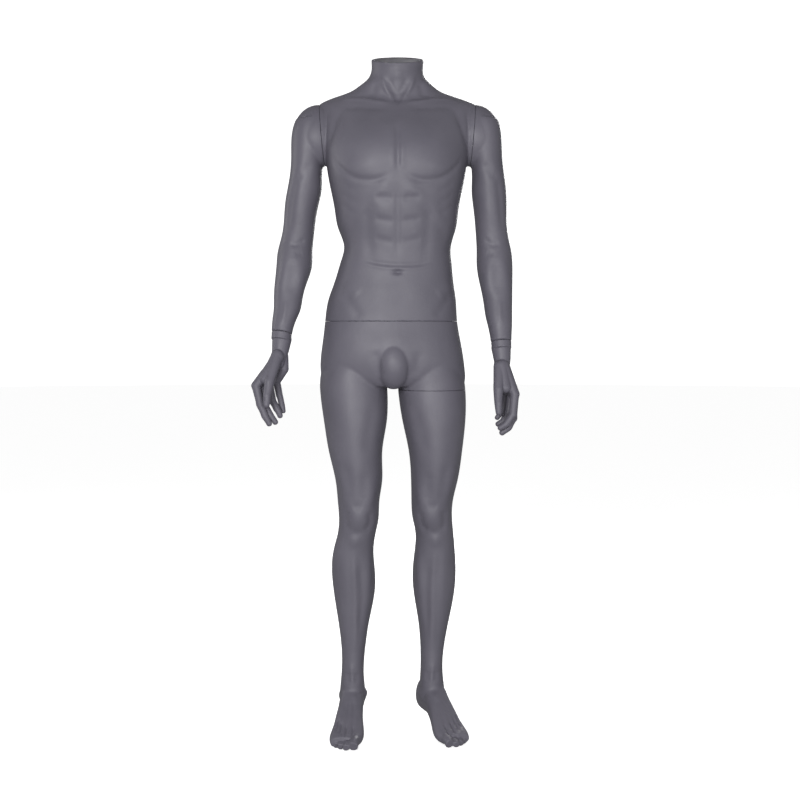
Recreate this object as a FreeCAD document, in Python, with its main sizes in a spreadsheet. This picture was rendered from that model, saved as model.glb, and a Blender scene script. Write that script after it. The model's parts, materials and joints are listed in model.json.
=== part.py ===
"""Headless full body mannequin: hollow moulded shells joined by quarter-turn steel fittings.

Body frame: X to the figure's left, Y to its back, Z up, floor at Z = 0. Millimetres and degrees.
"""

import FreeCAD, Part
import math
import os

Vector = FreeCAD.Vector
X_AXIS, Y_AXIS, Z_AXIS = Vector(1, 0, 0), Vector(0, 1, 0), Vector(0, 0, 1)
BIG = 2000.0

# Every driving dimension: alias, value, what it is.
SIZES = (
    ("leg_length", 830, "floor to crotch"),
    ("pelvis_height", 159, "crotch to waist seam"),
    ("trunk_length", 516, "waist seam to shoulder line"),
    ("neck_length", 107, "shoulder line to the middle of the neck's cut"),
    ("neck_tilt", 17, "forward tilt of the neck's cut"),
    ("neck_width", 123, "neck, side to side"),
    ("chest_width", 328, "ribcage under the arms"),
    ("chest_depth", 250, "ribcage, front to back"),
    ("waist_width", 254, "narrowest waist"),
    ("waist_depth", 180, "narrowest waist, front to back"),
    ("hip_width", 346, "hips at their widest"),
    ("hip_depth", 232, "front to buttocks"),
    ("shoulder_span", 372, "between the shoulder seams at the shoulder line"),
    ("shoulder_cant", 4.8, "lean of each shoulder seam"),
    ("deltoid_reach", 60, "deltoid, outwards from its middle"),
    ("deltoid_height", 148, "deltoid, top to bottom"),
    ("thigh_width", 161, "thigh at the crotch"),
    ("thigh_depth", 190, "thigh at the crotch, front to back"),
    ("knee_width", 97, "knee"),
    ("knee_depth", 116, "knee, front to back"),
    ("calf_width", 104, "calf"),
    ("calf_depth", 116, "calf, front to back"),
    ("ankle_width", 55, "ankle above the joint"),
    ("ankle_depth", 74, "ankle, front to back"),
    ("thigh_seam_drop", 4, "crotch to the left thigh's seam"),
    ("arm_length", 348, "shoulder line to elbow"),
    ("right_forearm_length", 197, "right elbow to wrist seam"),
    ("left_forearm_length", 217, "left elbow to wrist seam"),
    ("biceps_width", 80, "upper arm"),
    ("biceps_depth", 97, "upper arm, front to back"),
    ("elbow_width", 85, "forearm just below the elbow"),
    ("elbow_depth", 87, "forearm just below the elbow, front to back"),
    ("wrist_width", 48, "wrist, palm to back"),
    ("wrist_depth", 58, "wrist, thumb side to little finger side"),
    ("wrist_height", 46, "wrist seam to the wrist's crease"),
    ("palm_length", 92, "wrist crease to knuckles"),
    ("palm_width", 82, "across the knuckles"),
    ("foot_length", 240, "heel to big toe"),
    ("foot_width", 78, "ball of the foot"),
    ("heel_rise", 38, "how far the heel stands off the floor"),
    ("shell_wall", 4, "moulded wall"),
    ("seam_gap", 1, "open line between two shells"),
    ("glue_gap", 0.3, "between a bulkhead's edge and the shell"),
    ("bulkhead_thickness", 9, "board behind each fitting"),
    ("plate_thickness", 2, "steel fitting plates"),
    ("fit_gap", 0.2, "running clearance of the fittings"),
    ("waist_plate_radius", 46, "waist fitting plates"),
    ("shoulder_plate_radius", 30, "shoulder fitting plates"),
    ("thigh_plate_radius", 38, "thigh fitting plates"),
    ("wrist_plate_radius", 15, "wrist fitting plates"),
    ("key_thickness", 4, "cross bar of each lock key"),
    ("key_flange", 3, "foot of each lock key, behind its plate"),
    ("screw_radius", 2, "fitting screws"),
    ("wrist_screw_radius", 1.5, "wrist fitting screws"),
    ("screw_head_depth", 1.6, "countersunk screw heads"),
    ("screw_length", 8, "fitting screws under the head"),
    ("neck_socket_radius", 30, "round socket in the neck cap"),
    ("neck_socket_depth", 12, "neck socket, mouth to floor"),
    ("cap_recess", 3, "neck rim above the cap"),
    ("cap_thickness", 5, "neck cap"),
    ("rod_bore_radius", 6.5, "sockets for a display stand's rods"),
    ("rod_socket_wall", 2, "wall of those sockets"),
    ("calf_socket_length", 60, "rod socket in the calf"),
    ("calf_socket_slope", 32, "calf socket's lean from upright"),
    ("foot_socket_length", 70, "rod socket in the heel"),
    ("frame_shift_x", 27.5, "moves the outline's middle to X = 0"),
    ("frame_shift_y", 18, "moves the outline's middle to Y = 0"),
)

doc = FreeCAD.newDocument("mannequin")
sheet = doc.addObject("Spreadsheet::Sheet", "Sizes")
for row, (alias, value, meaning) in enumerate(SIZES, start=1):
    sheet.set(f"A{row}", alias)
    sheet.set(f"B{row}", str(value))
    sheet.setAlias(f"B{row}", alias)
    sheet.set(f"C{row}", meaning)
doc.recompute()


def size(alias):
    """The value of a named cell."""
    return float(sheet.get(alias))


WALL = size("shell_wall")
HALF_GAP = size("seam_gap") / 2
CROTCH = size("leg_length")
WAIST_SEAM = CROTCH + size("pelvis_height")
SHOULDER_LINE = WAIST_SEAM + size("trunk_length")
NECK_TOP = SHOULDER_LINE + size("neck_length")
THIGH_SEAM = CROTCH - size("thigh_seam_drop")
ELBOW = SHOULDER_LINE - size("arm_length")


# ---------------------------------------------------------------- lofted skins
SEAM_TURN = 0.25  # each loft's own seam runs up the middle of its back


def ring(origin, across, along, half, low, high, squareness, inset, points):
    """Closed curve about origin: half wide along `across`, from -low to +high along `along`.

    Its control points stand outside it by the share that a round cubic spline cuts inside them,
    and every ring has the same knots, so a loft through them stays light.
    """
    outline = []
    grow = 3 / (2 + math.cos(2 * math.pi / points))
    for i in range(points):
        turn = 2 * math.pi * (i / points + SEAM_TURN)
        c, s = math.cos(turn), math.sin(turn)
        a = (half - inset) * math.copysign(abs(c) ** (2 / squareness), c)
        reach = (high if s > 0 else low) - inset
        b = reach * math.copysign(abs(s) ** (2 / squareness), s)
        outline.append(origin + (across * a + along * b) * grow)
    curve = Part.BSplineCurve()
    curve.buildFromPoles(outline, True, 3)
    return Part.Wire([curve.toShape()])


def loft(wires):
    return Part.makeLoft(wires, True, False, False)


def upright_skin(rings, inset, points=16):
    """Loft through rings: (level, mid_x, mid_y, half width, front, back, squareness, lean).

    The lean is the angle by which a ring's back is raised; it can be left out.
    """
    wires = []
    for level, mid_x, mid_y, half, front, back, squareness, *lean in rings:
        origin = Vector(mid_x, mid_y, level)
        angle = math.radians(lean[0]) if lean else 0.0
        backward = Vector(0, math.cos(angle), math.sin(angle))
        wires.append(ring(origin, X_AXIS, backward, half, front, back, squareness, inset, points))
    return loft(wires)


def tube(joints, radii, points=8):
    """Round finger or toe through its joints, closed by a ball at its tip."""
    wires = []
    side = (joints[1] - joints[0]).cross(X_AXIS + Y_AXIS * 0.37).normalize()
    for i, (joint, radius) in enumerate(zip(joints, radii)):
        ahead = joints[min(i + 1, len(joints) - 1)] - joints[max(i - 1, 0)]
        ahead.normalize()
        across = (side - ahead * side.dot(ahead)).normalize()
        wires.append(ring(joint, across, ahead.cross(across), radius, radius, radius, 2, 0, points))
    return loft(wires).fuse(Part.makeSphere(radii[-1], joints[-1]))


def ellipsoid(centre, reach_x, reach_y, reach_z):
    ball = Part.makeSphere(1.0, Vector(), X_AXIS)
    stretch = FreeCAD.Matrix(reach_x, 0, 0, 0, 0, reach_y, 0, 0, 0, 0, reach_z, 0, 0, 0, 0, 1)
    ball = ball.transformGeometry(stretch)
    ball.translate(centre)
    return ball


def half_space(point, normal):
    """Huge block on the side of the plane that the normal points to."""
    block = Part.makeBox(BIG, BIG, BIG, Vector(-BIG / 2, -BIG / 2, 0))
    turn = FreeCAD.Rotation(Z_AXIS, normal)
    block.Placement = FreeCAD.Placement(point, turn)
    return block


def largest(shape):
    return max(shape.Solids, key=lambda solid: solid.Volume)


# ---------------------------------------------------------------- trunk
def trunk_rings():
    """Pelvis and torso, crotch to neck: the body's middle leans over the standing right leg."""
    chest, chest_deep = size("chest_width") / 2, size("chest_depth") / 2
    waist, waist_deep = size("waist_width") / 2, size("waist_depth") / 2
    hip, hip_deep = size("hip_width") / 2, size("hip_depth") / 2
    neck, tilt = size("neck_width") / 2, size("neck_tilt")
    shoulder = size("shoulder_span") / 2
    pelvis, trunk, throat = (size(n) for n in ("pelvis_height", "trunk_length", "neck_length"))
    return [
        (CROTCH + 0.03 * pelvis, -11, 0, hip * 0.945, hip_deep * 0.62, hip_deep * 0.74, 2.1),
        (CROTCH + 0.24 * pelvis, -11, 0, hip * 0.995, hip_deep * 0.83, hip_deep * 1.02, 2.3),
        (CROTCH + 0.48 * pelvis, -13, 0, hip * 0.980, hip_deep * 0.90, hip_deep * 1.09, 2.3),
        (CROTCH + 0.73 * pelvis, -14, 0, hip * 0.945, hip_deep * 0.89, hip_deep * 0.96, 2.3),
        (WAIST_SEAM, -15, 0, hip * 0.910, waist_deep * 1.10, waist_deep * 1.05, 2.3),
        (WAIST_SEAM + 0.093 * trunk, -13, 0, waist * 1.200, waist_deep * 1.09, waist_deep * 0.90, 2.3),
        (WAIST_SEAM + 0.186 * trunk, -8, 0, waist * 1.110, waist_deep * 1.07, waist_deep * 0.84, 2.3),
        (WAIST_SEAM + 0.279 * trunk, -3, 0, waist * 1.035, waist_deep * 1.07, waist_deep * 0.85, 2.3),
        (WAIST_SEAM + 0.340 * trunk, 0, 0, waist * 1.000, waist_deep * 1.10, waist_deep * 0.92, 2.3),
        (WAIST_SEAM + 0.430 * trunk, -1, 0, chest * 0.855, chest_deep * 0.87, chest_deep * 0.76, 2.3),
        (WAIST_SEAM + 0.520 * trunk, -2, 0, chest * 0.900, chest_deep * 0.95, chest_deep * 0.85, 2.3),
        (WAIST_SEAM + 0.610 * trunk, -2, 0, chest * 0.955, chest_deep * 1.01, chest_deep * 0.93, 2.4),
        (WAIST_SEAM + 0.700 * trunk, -2, 0, chest * 1.005, chest_deep * 1.04, chest_deep * 0.98, 2.4),
        (WAIST_SEAM + 0.790 * trunk, -1, 0, chest * 1.045, chest_deep * 0.99, chest_deep * 0.99, 2.3),
        (WAIST_SEAM + 0.880 * trunk, 0, 4, chest * 1.100, chest_deep * 0.86, chest_deep * 0.90, 2.1),
        (WAIST_SEAM + 0.950 * trunk, 0, 10, shoulder * 1.020, chest_deep * 0.68, chest_deep * 0.75, 1.95),
        (SHOULDER_LINE - 0.02 * throat, 0, 13, shoulder * 1.020, chest_deep * 0.56, chest_deep * 0.64, 1.75),
        (SHOULDER_LINE + 0.08 * throat, -3, 15, shoulder * 0.930, chest_deep * 0.52, chest_deep * 0.59, 1.65),
        (SHOULDER_LINE + 0.18 * throat, -5, 15, shoulder * 0.775, chest_deep * 0.50, chest_deep * 0.57, 1.65),
        (SHOULDER_LINE + 0.32 * throat, -4, 14, shoulder * 0.560, chest_deep * 0.50, chest_deep * 0.55, 1.8),
        (SHOULDER_LINE + 0.43 * throat, -3, 12, neck * 1.420, neck * 1.00, neck * 1.08, 1.9),
        (SHOULDER_LINE + 0.54 * throat, -2, 10, neck * 1.190, neck * 0.99, neck * 1.05, 2.0, 0.3 * tilt),
        (SHOULDER_LINE + 0.68 * throat, -1, 6, neck * 1.030, neck * 0.98, neck * 1.03, 2.0, 0.6 * tilt),
        (SHOULDER_LINE + 0.84 * throat, 0, 3, neck * 1.000, neck * 0.98, neck * 1.01, 2.0, 0.9 * tilt),
        (NECK_TOP, 0, 0, neck * 1.000, neck * 1.01, neck * 1.01, 2.0, tilt),
    ]


def trunk_skin(inset):
    """The cavity's rings sit a wall lower over the shoulders, and it opens through the neck's cut."""
    rings = []
    for level, *rest in trunk_rings():
        drop = inset if SHOULDER_LINE - 30 < level < SHOULDER_LINE + 0.6 * size("neck_length") else 0.0
        lift = inset if level < WAIST_SEAM - size("pelvis_height") * 0.9 else 0.0
        rise = 2 * inset if level == NECK_TOP else 0.0
        rings.append((level - drop + lift + rise, *rest))
    return upright_skin(rings, inset)


def groin(inset):
    hip_deep = size("hip_depth") / 2
    centre = Vector(-9, -hip_deep * 0.62, CROTCH + 0.36 * size("pelvis_height"))
    return ellipsoid(centre, 42 - inset, 46 - inset, 58 - inset)


# ---------------------------------------------------------------- legs
# share of leg length, mid x (right, left), mid y (right, left), named girth, wide, deep
LEG_RINGS = (
    (1.120, (-92, 64), (8, 8), "thigh", 0.74, 0.70),
    (1.060, (-99, 76), (8, 8), "thigh", 0.99, 0.99),
    (0.989, (-104.5, 82.5), (4, 4), "thigh", 1.00, 1.00),
    (0.902, (-100.5, 87.5), (-5, -4), "thigh", 0.93, 0.92),
    (0.816, (-100, 91), (-9, -6), "thigh", 0.79, 0.81),
    (0.729, (-92, 88), (-10, -5), "knee", 1.14, 1.15),
    (0.671, (-93, 83), (-10, -2), "knee", 1.02, 1.04),
    (0.626, (-92.5, 83.5), (-8, 2), "knee", 0.98, 1.00),
    (0.584, (-97, 88.5), (-3, 9), "knee", 0.94, 0.94),
    (0.527, (-106, 90), (8, 20), "calf", 0.93, 0.97),
    (0.469, (-106.5, 89), (15, 29), "calf", 1.00, 1.00),
    (0.411, (-104.5, 88.5), (17, 32), "calf", 0.965, 0.96),
    (0.324, (-105.5, 87.5), (13, 29), "calf", 0.73, 0.78),
    (0.237, (-106.5, 84), (9, 26), "ankle", 1.03, 1.00),
    (0.180, (-108, 82.5), (8, 25), "ankle", 0.97, 0.98),
    (0.132, (-108.5, 83), (9, 26), "ankle", 1.07, 1.08),
    (0.088, (-108.5, 83), (12, 28), "ankle", 1.08, 1.14),
)


def leg_skin(side, inset):
    rings = []
    for share, mid_x, mid_y, girth, wide, deep in LEG_RINGS:
        level = share * CROTCH
        half = wide * size(girth + "_width") / 2
        reach = deep * size(girth + "_depth") / 2
        if share == LEG_RINGS[-1][0]:
            level += inset
        rings.append((level, mid_x[side], mid_y[side], half, reach, reach, 2.1))
    return upright_skin(rings, inset)


# share of foot length from the heel, sideways (to the big toe's side), half width share, sole, top
FOOT_RINGS = (
    (0.005, 0.0, 0.16, 1.25, 1.95),
    (0.040, 0.0, 0.27, 1.06, 2.60),
    (0.110, 0.0, 0.345, 1.00, 3.10),
    (0.230, 0.0, 0.365, 0.98, 3.30),
    (0.340, 0.01, 0.365, 0.96, 3.15),
    (0.450, 0.02, 0.375, 0.80, 2.65),
    (0.570, 0.02, 0.415, 0.42, 2.05),
    (0.680, 0.03, 0.470, 0.06, 1.50),
    (0.760, 0.02, 0.500, 0.00, 1.14),
    (0.840, 0.00, 0.470, 0.00, 0.86),
    (0.885, -0.01, 0.420, 0.03, 0.70),
)
# sideways share of foot width, start and tip as shares of foot length, radii
TOES = (
    (0.300, 0.80, 0.955, 12.6, 11.0),
    (0.070, 0.80, 0.960, 9.8, 8.0),
    (-0.115, 0.79, 0.930, 9.3, 7.6),
    (-0.265, 0.78, 0.890, 8.8, 7.2),
    (-0.375, 0.75, 0.845, 8.4, 6.8),
)
FOOT_YAW = (5.0, 20.5)
BIG_TOE_SIDE = (1.0, -1.0)


def foot_frame(side):
    """Heel point on the floor, forward and big-toe-ward directions."""
    yaw = math.radians(FOOT_YAW[side])
    inward = BIG_TOE_SIDE[side]
    forward = Vector(-inward * math.sin(yaw), -math.cos(yaw), 0)
    sideways = Vector(inward * math.cos(yaw), -math.sin(yaw), 0)
    ankle = Vector(LEG_RINGS[-1][1][side], LEG_RINGS[-1][2][side], 0)
    return ankle - forward * (0.25 * size("foot_length")), forward, sideways


def foot_skin(side, inset):
    heel, forward, sideways = foot_frame(side)
    length, width, rise = size("foot_length"), size("foot_width"), size("heel_rise")
    wires = []
    for share, lean, half, sole, top in FOOT_RINGS:
        if inset and not 0.1 < share < 0.6:
            continue
        middle = (sole + top) / 2 * rise
        reach = (top - sole) / 2 * rise
        origin = heel + forward * (share * length) + sideways * (lean * width) + Z_AXIS * middle
        wires.append(ring(origin, sideways, Z_AXIS, half * width, reach, reach, 2.4, inset, 12))
    return loft(wires)


def toes(side):
    heel, forward, sideways = foot_frame(side)
    length, width = size("foot_length"), size("foot_width")
    made = []
    for lean, start, tip, thick, thin in TOES:
        root = heel + forward * (start * length) + sideways * (lean * width) + Z_AXIS * thick * 1.25
        end = heel + forward * (tip * length) + sideways * (lean * width * 0.94) + Z_AXIS * thin * 0.96
        knuckle = (root + end) * 0.5 + Z_AXIS * thin * 0.42
        made.append(tube([root, knuckle, end], [thick, (thick + thin) * 0.48, thin]))
    return made


def whole_leg(side, inset):
    parts = [foot_skin(side, inset)]
    if not inset:
        parts += toes(side)
    return leg_skin(side, inset).fuse(parts)


# ---------------------------------------------------------------- arms
# share from shoulder line (0) to elbow (1), mid x (right, left), mid y, named girth, wide, deep
UPPER_ARM = (
    (0.100, (-205, 203), 12, "biceps", 0.92, 1.02),
    (0.245, (-212, 207), 12, "biceps", 1.03, 1.10),
    (0.380, (-216, 213), 13, "biceps", 0.96, 1.07),
    (0.515, (-220, 218), 15, "biceps", 0.99, 1.03),
    (0.655, (-228, 221), 18, "biceps", 1.02, 0.99),
    (0.795, (-235, 224), 20, "biceps", 0.95, 0.92),
    (0.930, (-242, 229), 21, "elbow", 0.93, 0.95),
)
# share from elbow (0) to wrist seam (1), then the same
FOREARM = (
    (0.000, (-246, 232), 20, "elbow", 0.98, 0.98),
    (0.120, (-247, 233), 16, "elbow", 1.01, 1.00),
    (0.360, (-254, 236), 4, "elbow", 0.92, 0.93),
    (0.600, (-261, 240), -9, "elbow", 0.79, 0.83),
    (0.840, (-269, 244), -22, "wrist", 1.18, 1.11),
    (1.000, (-274, 246), -30, "wrist", 1.01, 1.00),
    (1.200, (-281, 250), -40, "wrist", 0.94, 0.97),
    (1.300, (-285, 252), -45, "wrist", 0.94, 0.97),
)
FOREARM_NAMES = ("right_forearm_length", "left_forearm_length")
DELTOID_X = (-190, 186)
DELTOID_Y = 12


def arm_rings(side):
    rings = []
    for share, mid_x, mid_y, girth, wide, deep in UPPER_ARM:
        level = SHOULDER_LINE - share * size("arm_length")
        rings.append((level, mid_x[side], mid_y, girth, wide, deep))
    for share, mid_x, mid_y, girth, wide, deep in FOREARM:
        level = ELBOW - share * size(FOREARM_NAMES[side])
        rings.append((level, mid_x[side], mid_y, girth, wide, deep))
    return rings


def arm_skin(side, inset):
    rings = []
    for level, mid_x, mid_y, girth, wide, deep in arm_rings(side):
        half = wide * size(girth + "_width") / 2
        reach = deep * size(girth + "_depth") / 2
        rings.append((level, mid_x, mid_y, half, reach, reach, 2.1))
    return upright_skin(rings, inset)


def deltoid(side, inset):
    height = size("deltoid_height") / 2
    centre = Vector(DELTOID_X[side], DELTOID_Y, SHOULDER_LINE - height)
    return ellipsoid(centre, size("deltoid_reach") - inset, 58 - inset, height - inset)


# ---------------------------------------------------------------- hands
# distance share of palm length, half width share, half thickness
PALM_RINGS = (
    (-0.30, 0.345, 21.0),
    (-0.10, 0.350, 20.5),
    (0.25, 0.405, 20.0),
    (0.55, 0.465, 18.0),
    (0.82, 0.500, 15.0),
    (1.00, 0.485, 12.0),
    (1.10, 0.455, 8.0),
)
# across share of palm width, knuckle share of palm length, bone lengths, radii, extra bend
FINGERS = (
    (0.345, 0.99, (41, 25, 19), (10.0, 9.2, 8.2, 7.0), 0.0),
    (0.115, 1.03, (44, 29, 20), (10.2, 9.4, 8.4, 7.1), 3.0),
    (-0.115, 1.00, (40, 27, 19), (9.8, 9.0, 8.0, 6.9), 7.0),
    (-0.335, 0.94, (33, 20, 17), (9.0, 8.2, 7.2, 6.3), 10.0),
)
# along, thumb-ward and palm-ward distances of the thumb's joints, and its radii
THUMB = ((12, 12, 4), (40, 32, 12), (68, 42, 20), (95, 45, 27), (116, 43, 32))
THUMB_RADII = (15.0, 14.0, 11.5, 10.5, 8.6)
WRIST_EXTENSION = (18.0, 7.0)
PALM_TURN = (20.0, 14.0)
KNUCKLE_BEND = (38.0, 26.0)
FINGER_BEND = ((22.0, 15.0), (26.0, 18.0))
THUMB_CLOSE = (-2.0, 10.0)


def wrist_frame(side):
    """Wrist seam's middle and the forearm's direction there."""
    share_at = {share: (x[side], y) for share, x, y, *_ in FOREARM}
    above, seam = share_at[0.840], share_at[1.000]
    length = size(FOREARM_NAMES[side])
    level = ELBOW - length
    middle = Vector(seam[0], seam[1], level)
    upper = Vector(above[0], above[1], level + 0.16 * length)
    return middle, (middle - upper).normalize()


def turned(vector, axis, angle):
    return FreeCAD.Rotation(axis, angle).multVec(vector)


def hand_frame(side):
    """Wrist crease, then the directions along the palm, to the thumb and to the palm's face."""
    seam, along = wrist_frame(side)
    crease = seam + along * size("wrist_height")
    inward = BIG_TOE_SIDE[side]
    turn = math.radians(PALM_TURN[side])
    thumbward = Vector(inward * math.sin(turn), -math.cos(turn), 0)
    thumbward = (thumbward - along * thumbward.dot(along)).normalize()
    palmward = thumbward.cross(along) * inward
    bent = turned(along, thumbward, -inward * WRIST_EXTENSION[side])
    palmward = turned(palmward, thumbward, -inward * WRIST_EXTENSION[side])
    return crease, bent, thumbward, palmward


def finger(side, knuckle, along, hinge, bones, radii, extra):
    bends = (KNUCKLE_BEND[side] + extra, *FINGER_BEND[side])
    inward = BIG_TOE_SIDE[side]
    joints = [knuckle - along * 22, knuckle]
    heading = along
    for bone, bend in zip(bones, bends):
        heading = turned(heading, hinge, inward * bend)
        joints.append(joints[-1] + heading * bone)
    thick = [radii[0], *radii]
    joints[-1] = joints[-1] - heading * radii[-1]
    return tube(joints, thick)


def palm_skin(side):
    crease, along, thumbward, palmward = hand_frame(side)
    wires = []
    for share, half, thick in PALM_RINGS:
        origin = crease + along * (share * size("palm_length"))
        half_width = half * size("palm_width")
        wires.append(ring(origin, thumbward, palmward, half_width, thick, thick, 2.3, 0, 12))
    return loft(wires)


def digits(side):
    crease, along, thumbward, palmward = hand_frame(side)
    made = []
    for across, reach, bones, radii, extra in FINGERS:
        knuckle = crease + thumbward * (across * size("palm_width"))
        knuckle += along * (reach * size("palm_length"))
        made.append(finger(side, knuckle, along, thumbward, bones, radii, extra))
    joints = []
    for i, (far, out, close) in enumerate(THUMB):
        close += THUMB_CLOSE[side] * i / (len(THUMB) - 1)
        joints.append(crease + along * far + thumbward * out + palmward * close)
    made.append(tube(joints, THUMB_RADII))
    return made


# ---------------------------------------------------------------- joint frames
def shoulder_frame(side):
    """Middle of the shoulder seam and the direction that the arm's key points, into the torso."""
    inward = BIG_TOE_SIDE[side]
    cant = math.radians(size("shoulder_cant"))
    normal = Vector(inward * math.cos(cant), 0, math.sin(cant))
    drop = size("deltoid_height") * 0.50
    half_span = size("shoulder_span") / 2 - drop * math.tan(cant)
    return Vector(-inward * half_span, DELTOID_Y, SHOULDER_LINE - drop), normal


def joint_frames():
    """name: (middle of the seam, direction that the lock key points)"""
    frames = {"waist": (Vector(-15, 0, WAIST_SEAM), Z_AXIS)}
    frames["thigh"] = (Vector(LEG_RINGS[2][1][1], LEG_RINGS[2][2][1], THIGH_SEAM), Z_AXIS)
    for side, name in enumerate(("right", "left")):
        frames[name + "_shoulder"] = shoulder_frame(side)
        middle, along = wrist_frame(side)
        frames[name + "_wrist"] = (middle, along * -1)
    return frames


FRAMES = joint_frames()


def beyond(joint, towards_key_tip, clear):
    """Half space on one side of a seam, starting `clear` past its middle plane."""
    middle, normal = FRAMES[joint]
    direction = normal if towards_key_tip else normal * -1
    return half_space(middle + direction * clear, direction)


def slab(joint, towards_key_tip, near, far):
    """The slice of space between two distances from a seam."""
    return beyond(joint, towards_key_tip, near).cut(beyond(joint, towards_key_tip, far))


# ---------------------------------------------------------------- whole skins and cavities
def torso_body(inset):
    """Torso with both shoulders, between the seams."""
    body = trunk_skin(inset)
    limbs = []
    for side in (0, 1):
        limbs += [deltoid(side, inset), arm_skin(side, inset)]
    body = body.fuse(limbs)
    armpit = SHOULDER_LINE - size("deltoid_height") - 90
    for name in ("right", "left"):
        tool = beyond(name + "_shoulder", False, HALF_GAP)
        tool = tool.common(half_space(Vector(0, 0, armpit), Z_AXIS))
        body = body.cut(tool)
    body = body.common(beyond("waist", True, HALF_GAP))
    return largest(body)


def arm_body(side, inset):
    """Deltoid to wrist seam."""
    name = ("right", "left")[side]
    armpit = SHOULDER_LINE - size("deltoid_height") - 60
    yoke = trunk_skin(inset).common(half_space(Vector(0, 0, armpit), Z_AXIS))
    yoke = yoke.cut(half_space(Vector(0, 0, SHOULDER_LINE + 20), Z_AXIS))
    body = deltoid(side, inset).fuse([arm_skin(side, inset), yoke])
    body = body.common(beyond(name + "_shoulder", False, HALF_GAP))
    return largest(body.common(beyond(name + "_wrist", True, HALF_GAP)))


def lower_body(inset):
    """Pelvis, right leg and the stump of the left thigh."""
    body = trunk_skin(inset).common(beyond("waist", False, HALF_GAP))
    body = body.fuse([groin(inset), whole_leg(0, inset), leg_skin(1, inset)])
    body = body.cut(left_leg_zone().common(beyond("thigh", False, HALF_GAP)))
    return largest(on_floor(body))


def left_leg_zone():
    """Everything on the left leg's side of the gap between the thighs."""
    return half_space(Vector((LEG_RINGS[2][1][0] + LEG_RINGS[2][1][1]) / 2, 0, 0), X_AXIS)


def left_leg_body(inset):
    return largest(on_floor(whole_leg(1, inset).common(beyond("thigh", False, HALF_GAP))))


def neck_normal():
    tilt = math.radians(size("neck_tilt"))
    return Vector(0, -math.sin(tilt), math.cos(tilt))


def on_floor(shape):
    return shape.cut(half_space(Vector(0, 0, 0), Z_AXIS * -1))


# ---------------------------------------------------------------- document objects
SHIFT = Vector(size("frame_shift_x"), size("frame_shift_y"), 0)
SIDES = ("right", "left")
PLATE = size("plate_thickness")
BOARD = size("bulkhead_thickness")
FIT = size("fit_gap")
JOINTS = ("waist", "right_shoulder", "left_shoulder", "thigh", "right_wrist", "left_wrist")
# shares of a fitting plate's radius
KEY_REACH = 0.45
STUD = 0.16
FLANGE = 0.34
SCREW_CIRCLE = 0.76
BAR_WIDTH = 1.8
SCREW_COUNT = 3
parts = []


def finished(item):
    parts.append(item)
    return item


def moulded(label, shape, pose=None):
    """A free-form piece, given in the body frame or in its own."""
    item = doc.addObject("Part::Feature", label)
    item.Label = label
    item.Shape = shape
    item.Placement = FreeCAD.Placement(SHIFT, FreeCAD.Rotation()) if pose is None else pose
    return finished(item)


def plate_radius(joint):
    """Name of the cell with a joint's plate radius."""
    return joint.split("_")[-1] + "_plate_radius"


def screw_radius(joint):
    return "wrist_screw_radius" if joint.endswith("wrist") else "screw_radius"


def seat(joint, key_side):
    """Placement with its origin in the seam and +Z going into the piece on one side of it."""
    middle, normal = FRAMES[joint]
    into = normal * -1 if key_side else normal
    across = Y_AXIS if abs(normal.y) < 0.5 else X_AXIS
    turn = FreeCAD.Rotation(across, Vector(), into, "ZXY")
    return FreeCAD.Placement(middle + SHIFT, turn)


def primitive(maker, kind, expressions, level="0", offset=None):
    """A primitive with its sizes bound to the sheet, standing at `level` on the Z axis."""
    item = maker(kind, kind.split(":")[-1])
    for name, expression in expressions.items():
        item.setExpression(name, expression)
    along, around = offset if offset else ("0", 0.0)
    turn = math.radians(around)
    item.setExpression("Placement.Base.x", f"{math.cos(turn)} * ({along})")
    item.setExpression("Placement.Base.y", f"{math.sin(turn)} * ({along})")
    item.setExpression("Placement.Base.z", level)
    return item


def design_body(label, pose):
    body = doc.addObject("PartDesign::Body", label)
    body.Label = label
    body.Placement = pose
    return body


def centred_box(body, kind, long, wide, tall, level):
    """A box feature about the Z axis, its length along X."""
    box = primitive(body.newObject, kind, {"Length": long, "Width": wide, "Height": tall}, level)
    box.setExpression("Placement.Base.x", f"-({long}) / 2")
    box.setExpression("Placement.Base.y", f"-({wide}) / 2")
    return box


def fitting_plate(joint, key_side):
    """Steel disc, let in flush with its bulkhead, with countersunk holes and a hole or a slot."""
    label = joint + ("_key_plate" if key_side else "_receiver_plate")
    body = design_body(label, seat(joint, key_side))
    rim, shank = "Sizes." + plate_radius(joint), "Sizes." + screw_radius(joint)
    face = "Sizes.seam_gap / 2"
    primitive(body.newObject, "PartDesign::AdditiveCylinder",
              {"Radius": rim, "Height": "Sizes.plate_thickness"}, face)
    primitive(body.newObject, "PartDesign::SubtractiveCylinder",
              {"Radius": f"{STUD} * {rim} + Sizes.fit_gap", "Height": "Sizes.plate_thickness"}, face)
    if not key_side:
        long = f"2 * ({KEY_REACH} * {rim} + Sizes.fit_gap)"
        wide = f"{BAR_WIDTH * STUD} * {rim} + 2 * Sizes.fit_gap"
        centred_box(body, "PartDesign::SubtractiveBox", long, wide, "Sizes.plate_thickness", face)
    spot = (f"{SCREW_CIRCLE} * {rim}", 90.0)
    cone = primitive(body.newObject, "PartDesign::SubtractiveCone",
                     {"Radius1": f"2 * {shank}", "Radius2": f"{shank} + 0.05",
                      "Height": "Sizes.screw_head_depth"}, face, spot)
    hole = primitive(body.newObject, "PartDesign::SubtractiveCylinder",
                     {"Radius": f"{shank} + 0.05", "Height": "Sizes.plate_thickness"}, face, spot)
    doc.recompute()
    pattern = body.newObject("PartDesign::PolarPattern", "Screws")
    pattern.Originals = [cone, hole]
    pattern.Axis = (body.Origin.OriginFeatures[2], [""])
    pattern.Angle = 360
    pattern.Occurrences = SCREW_COUNT
    body.Tip = pattern
    return finished(body)


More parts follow.
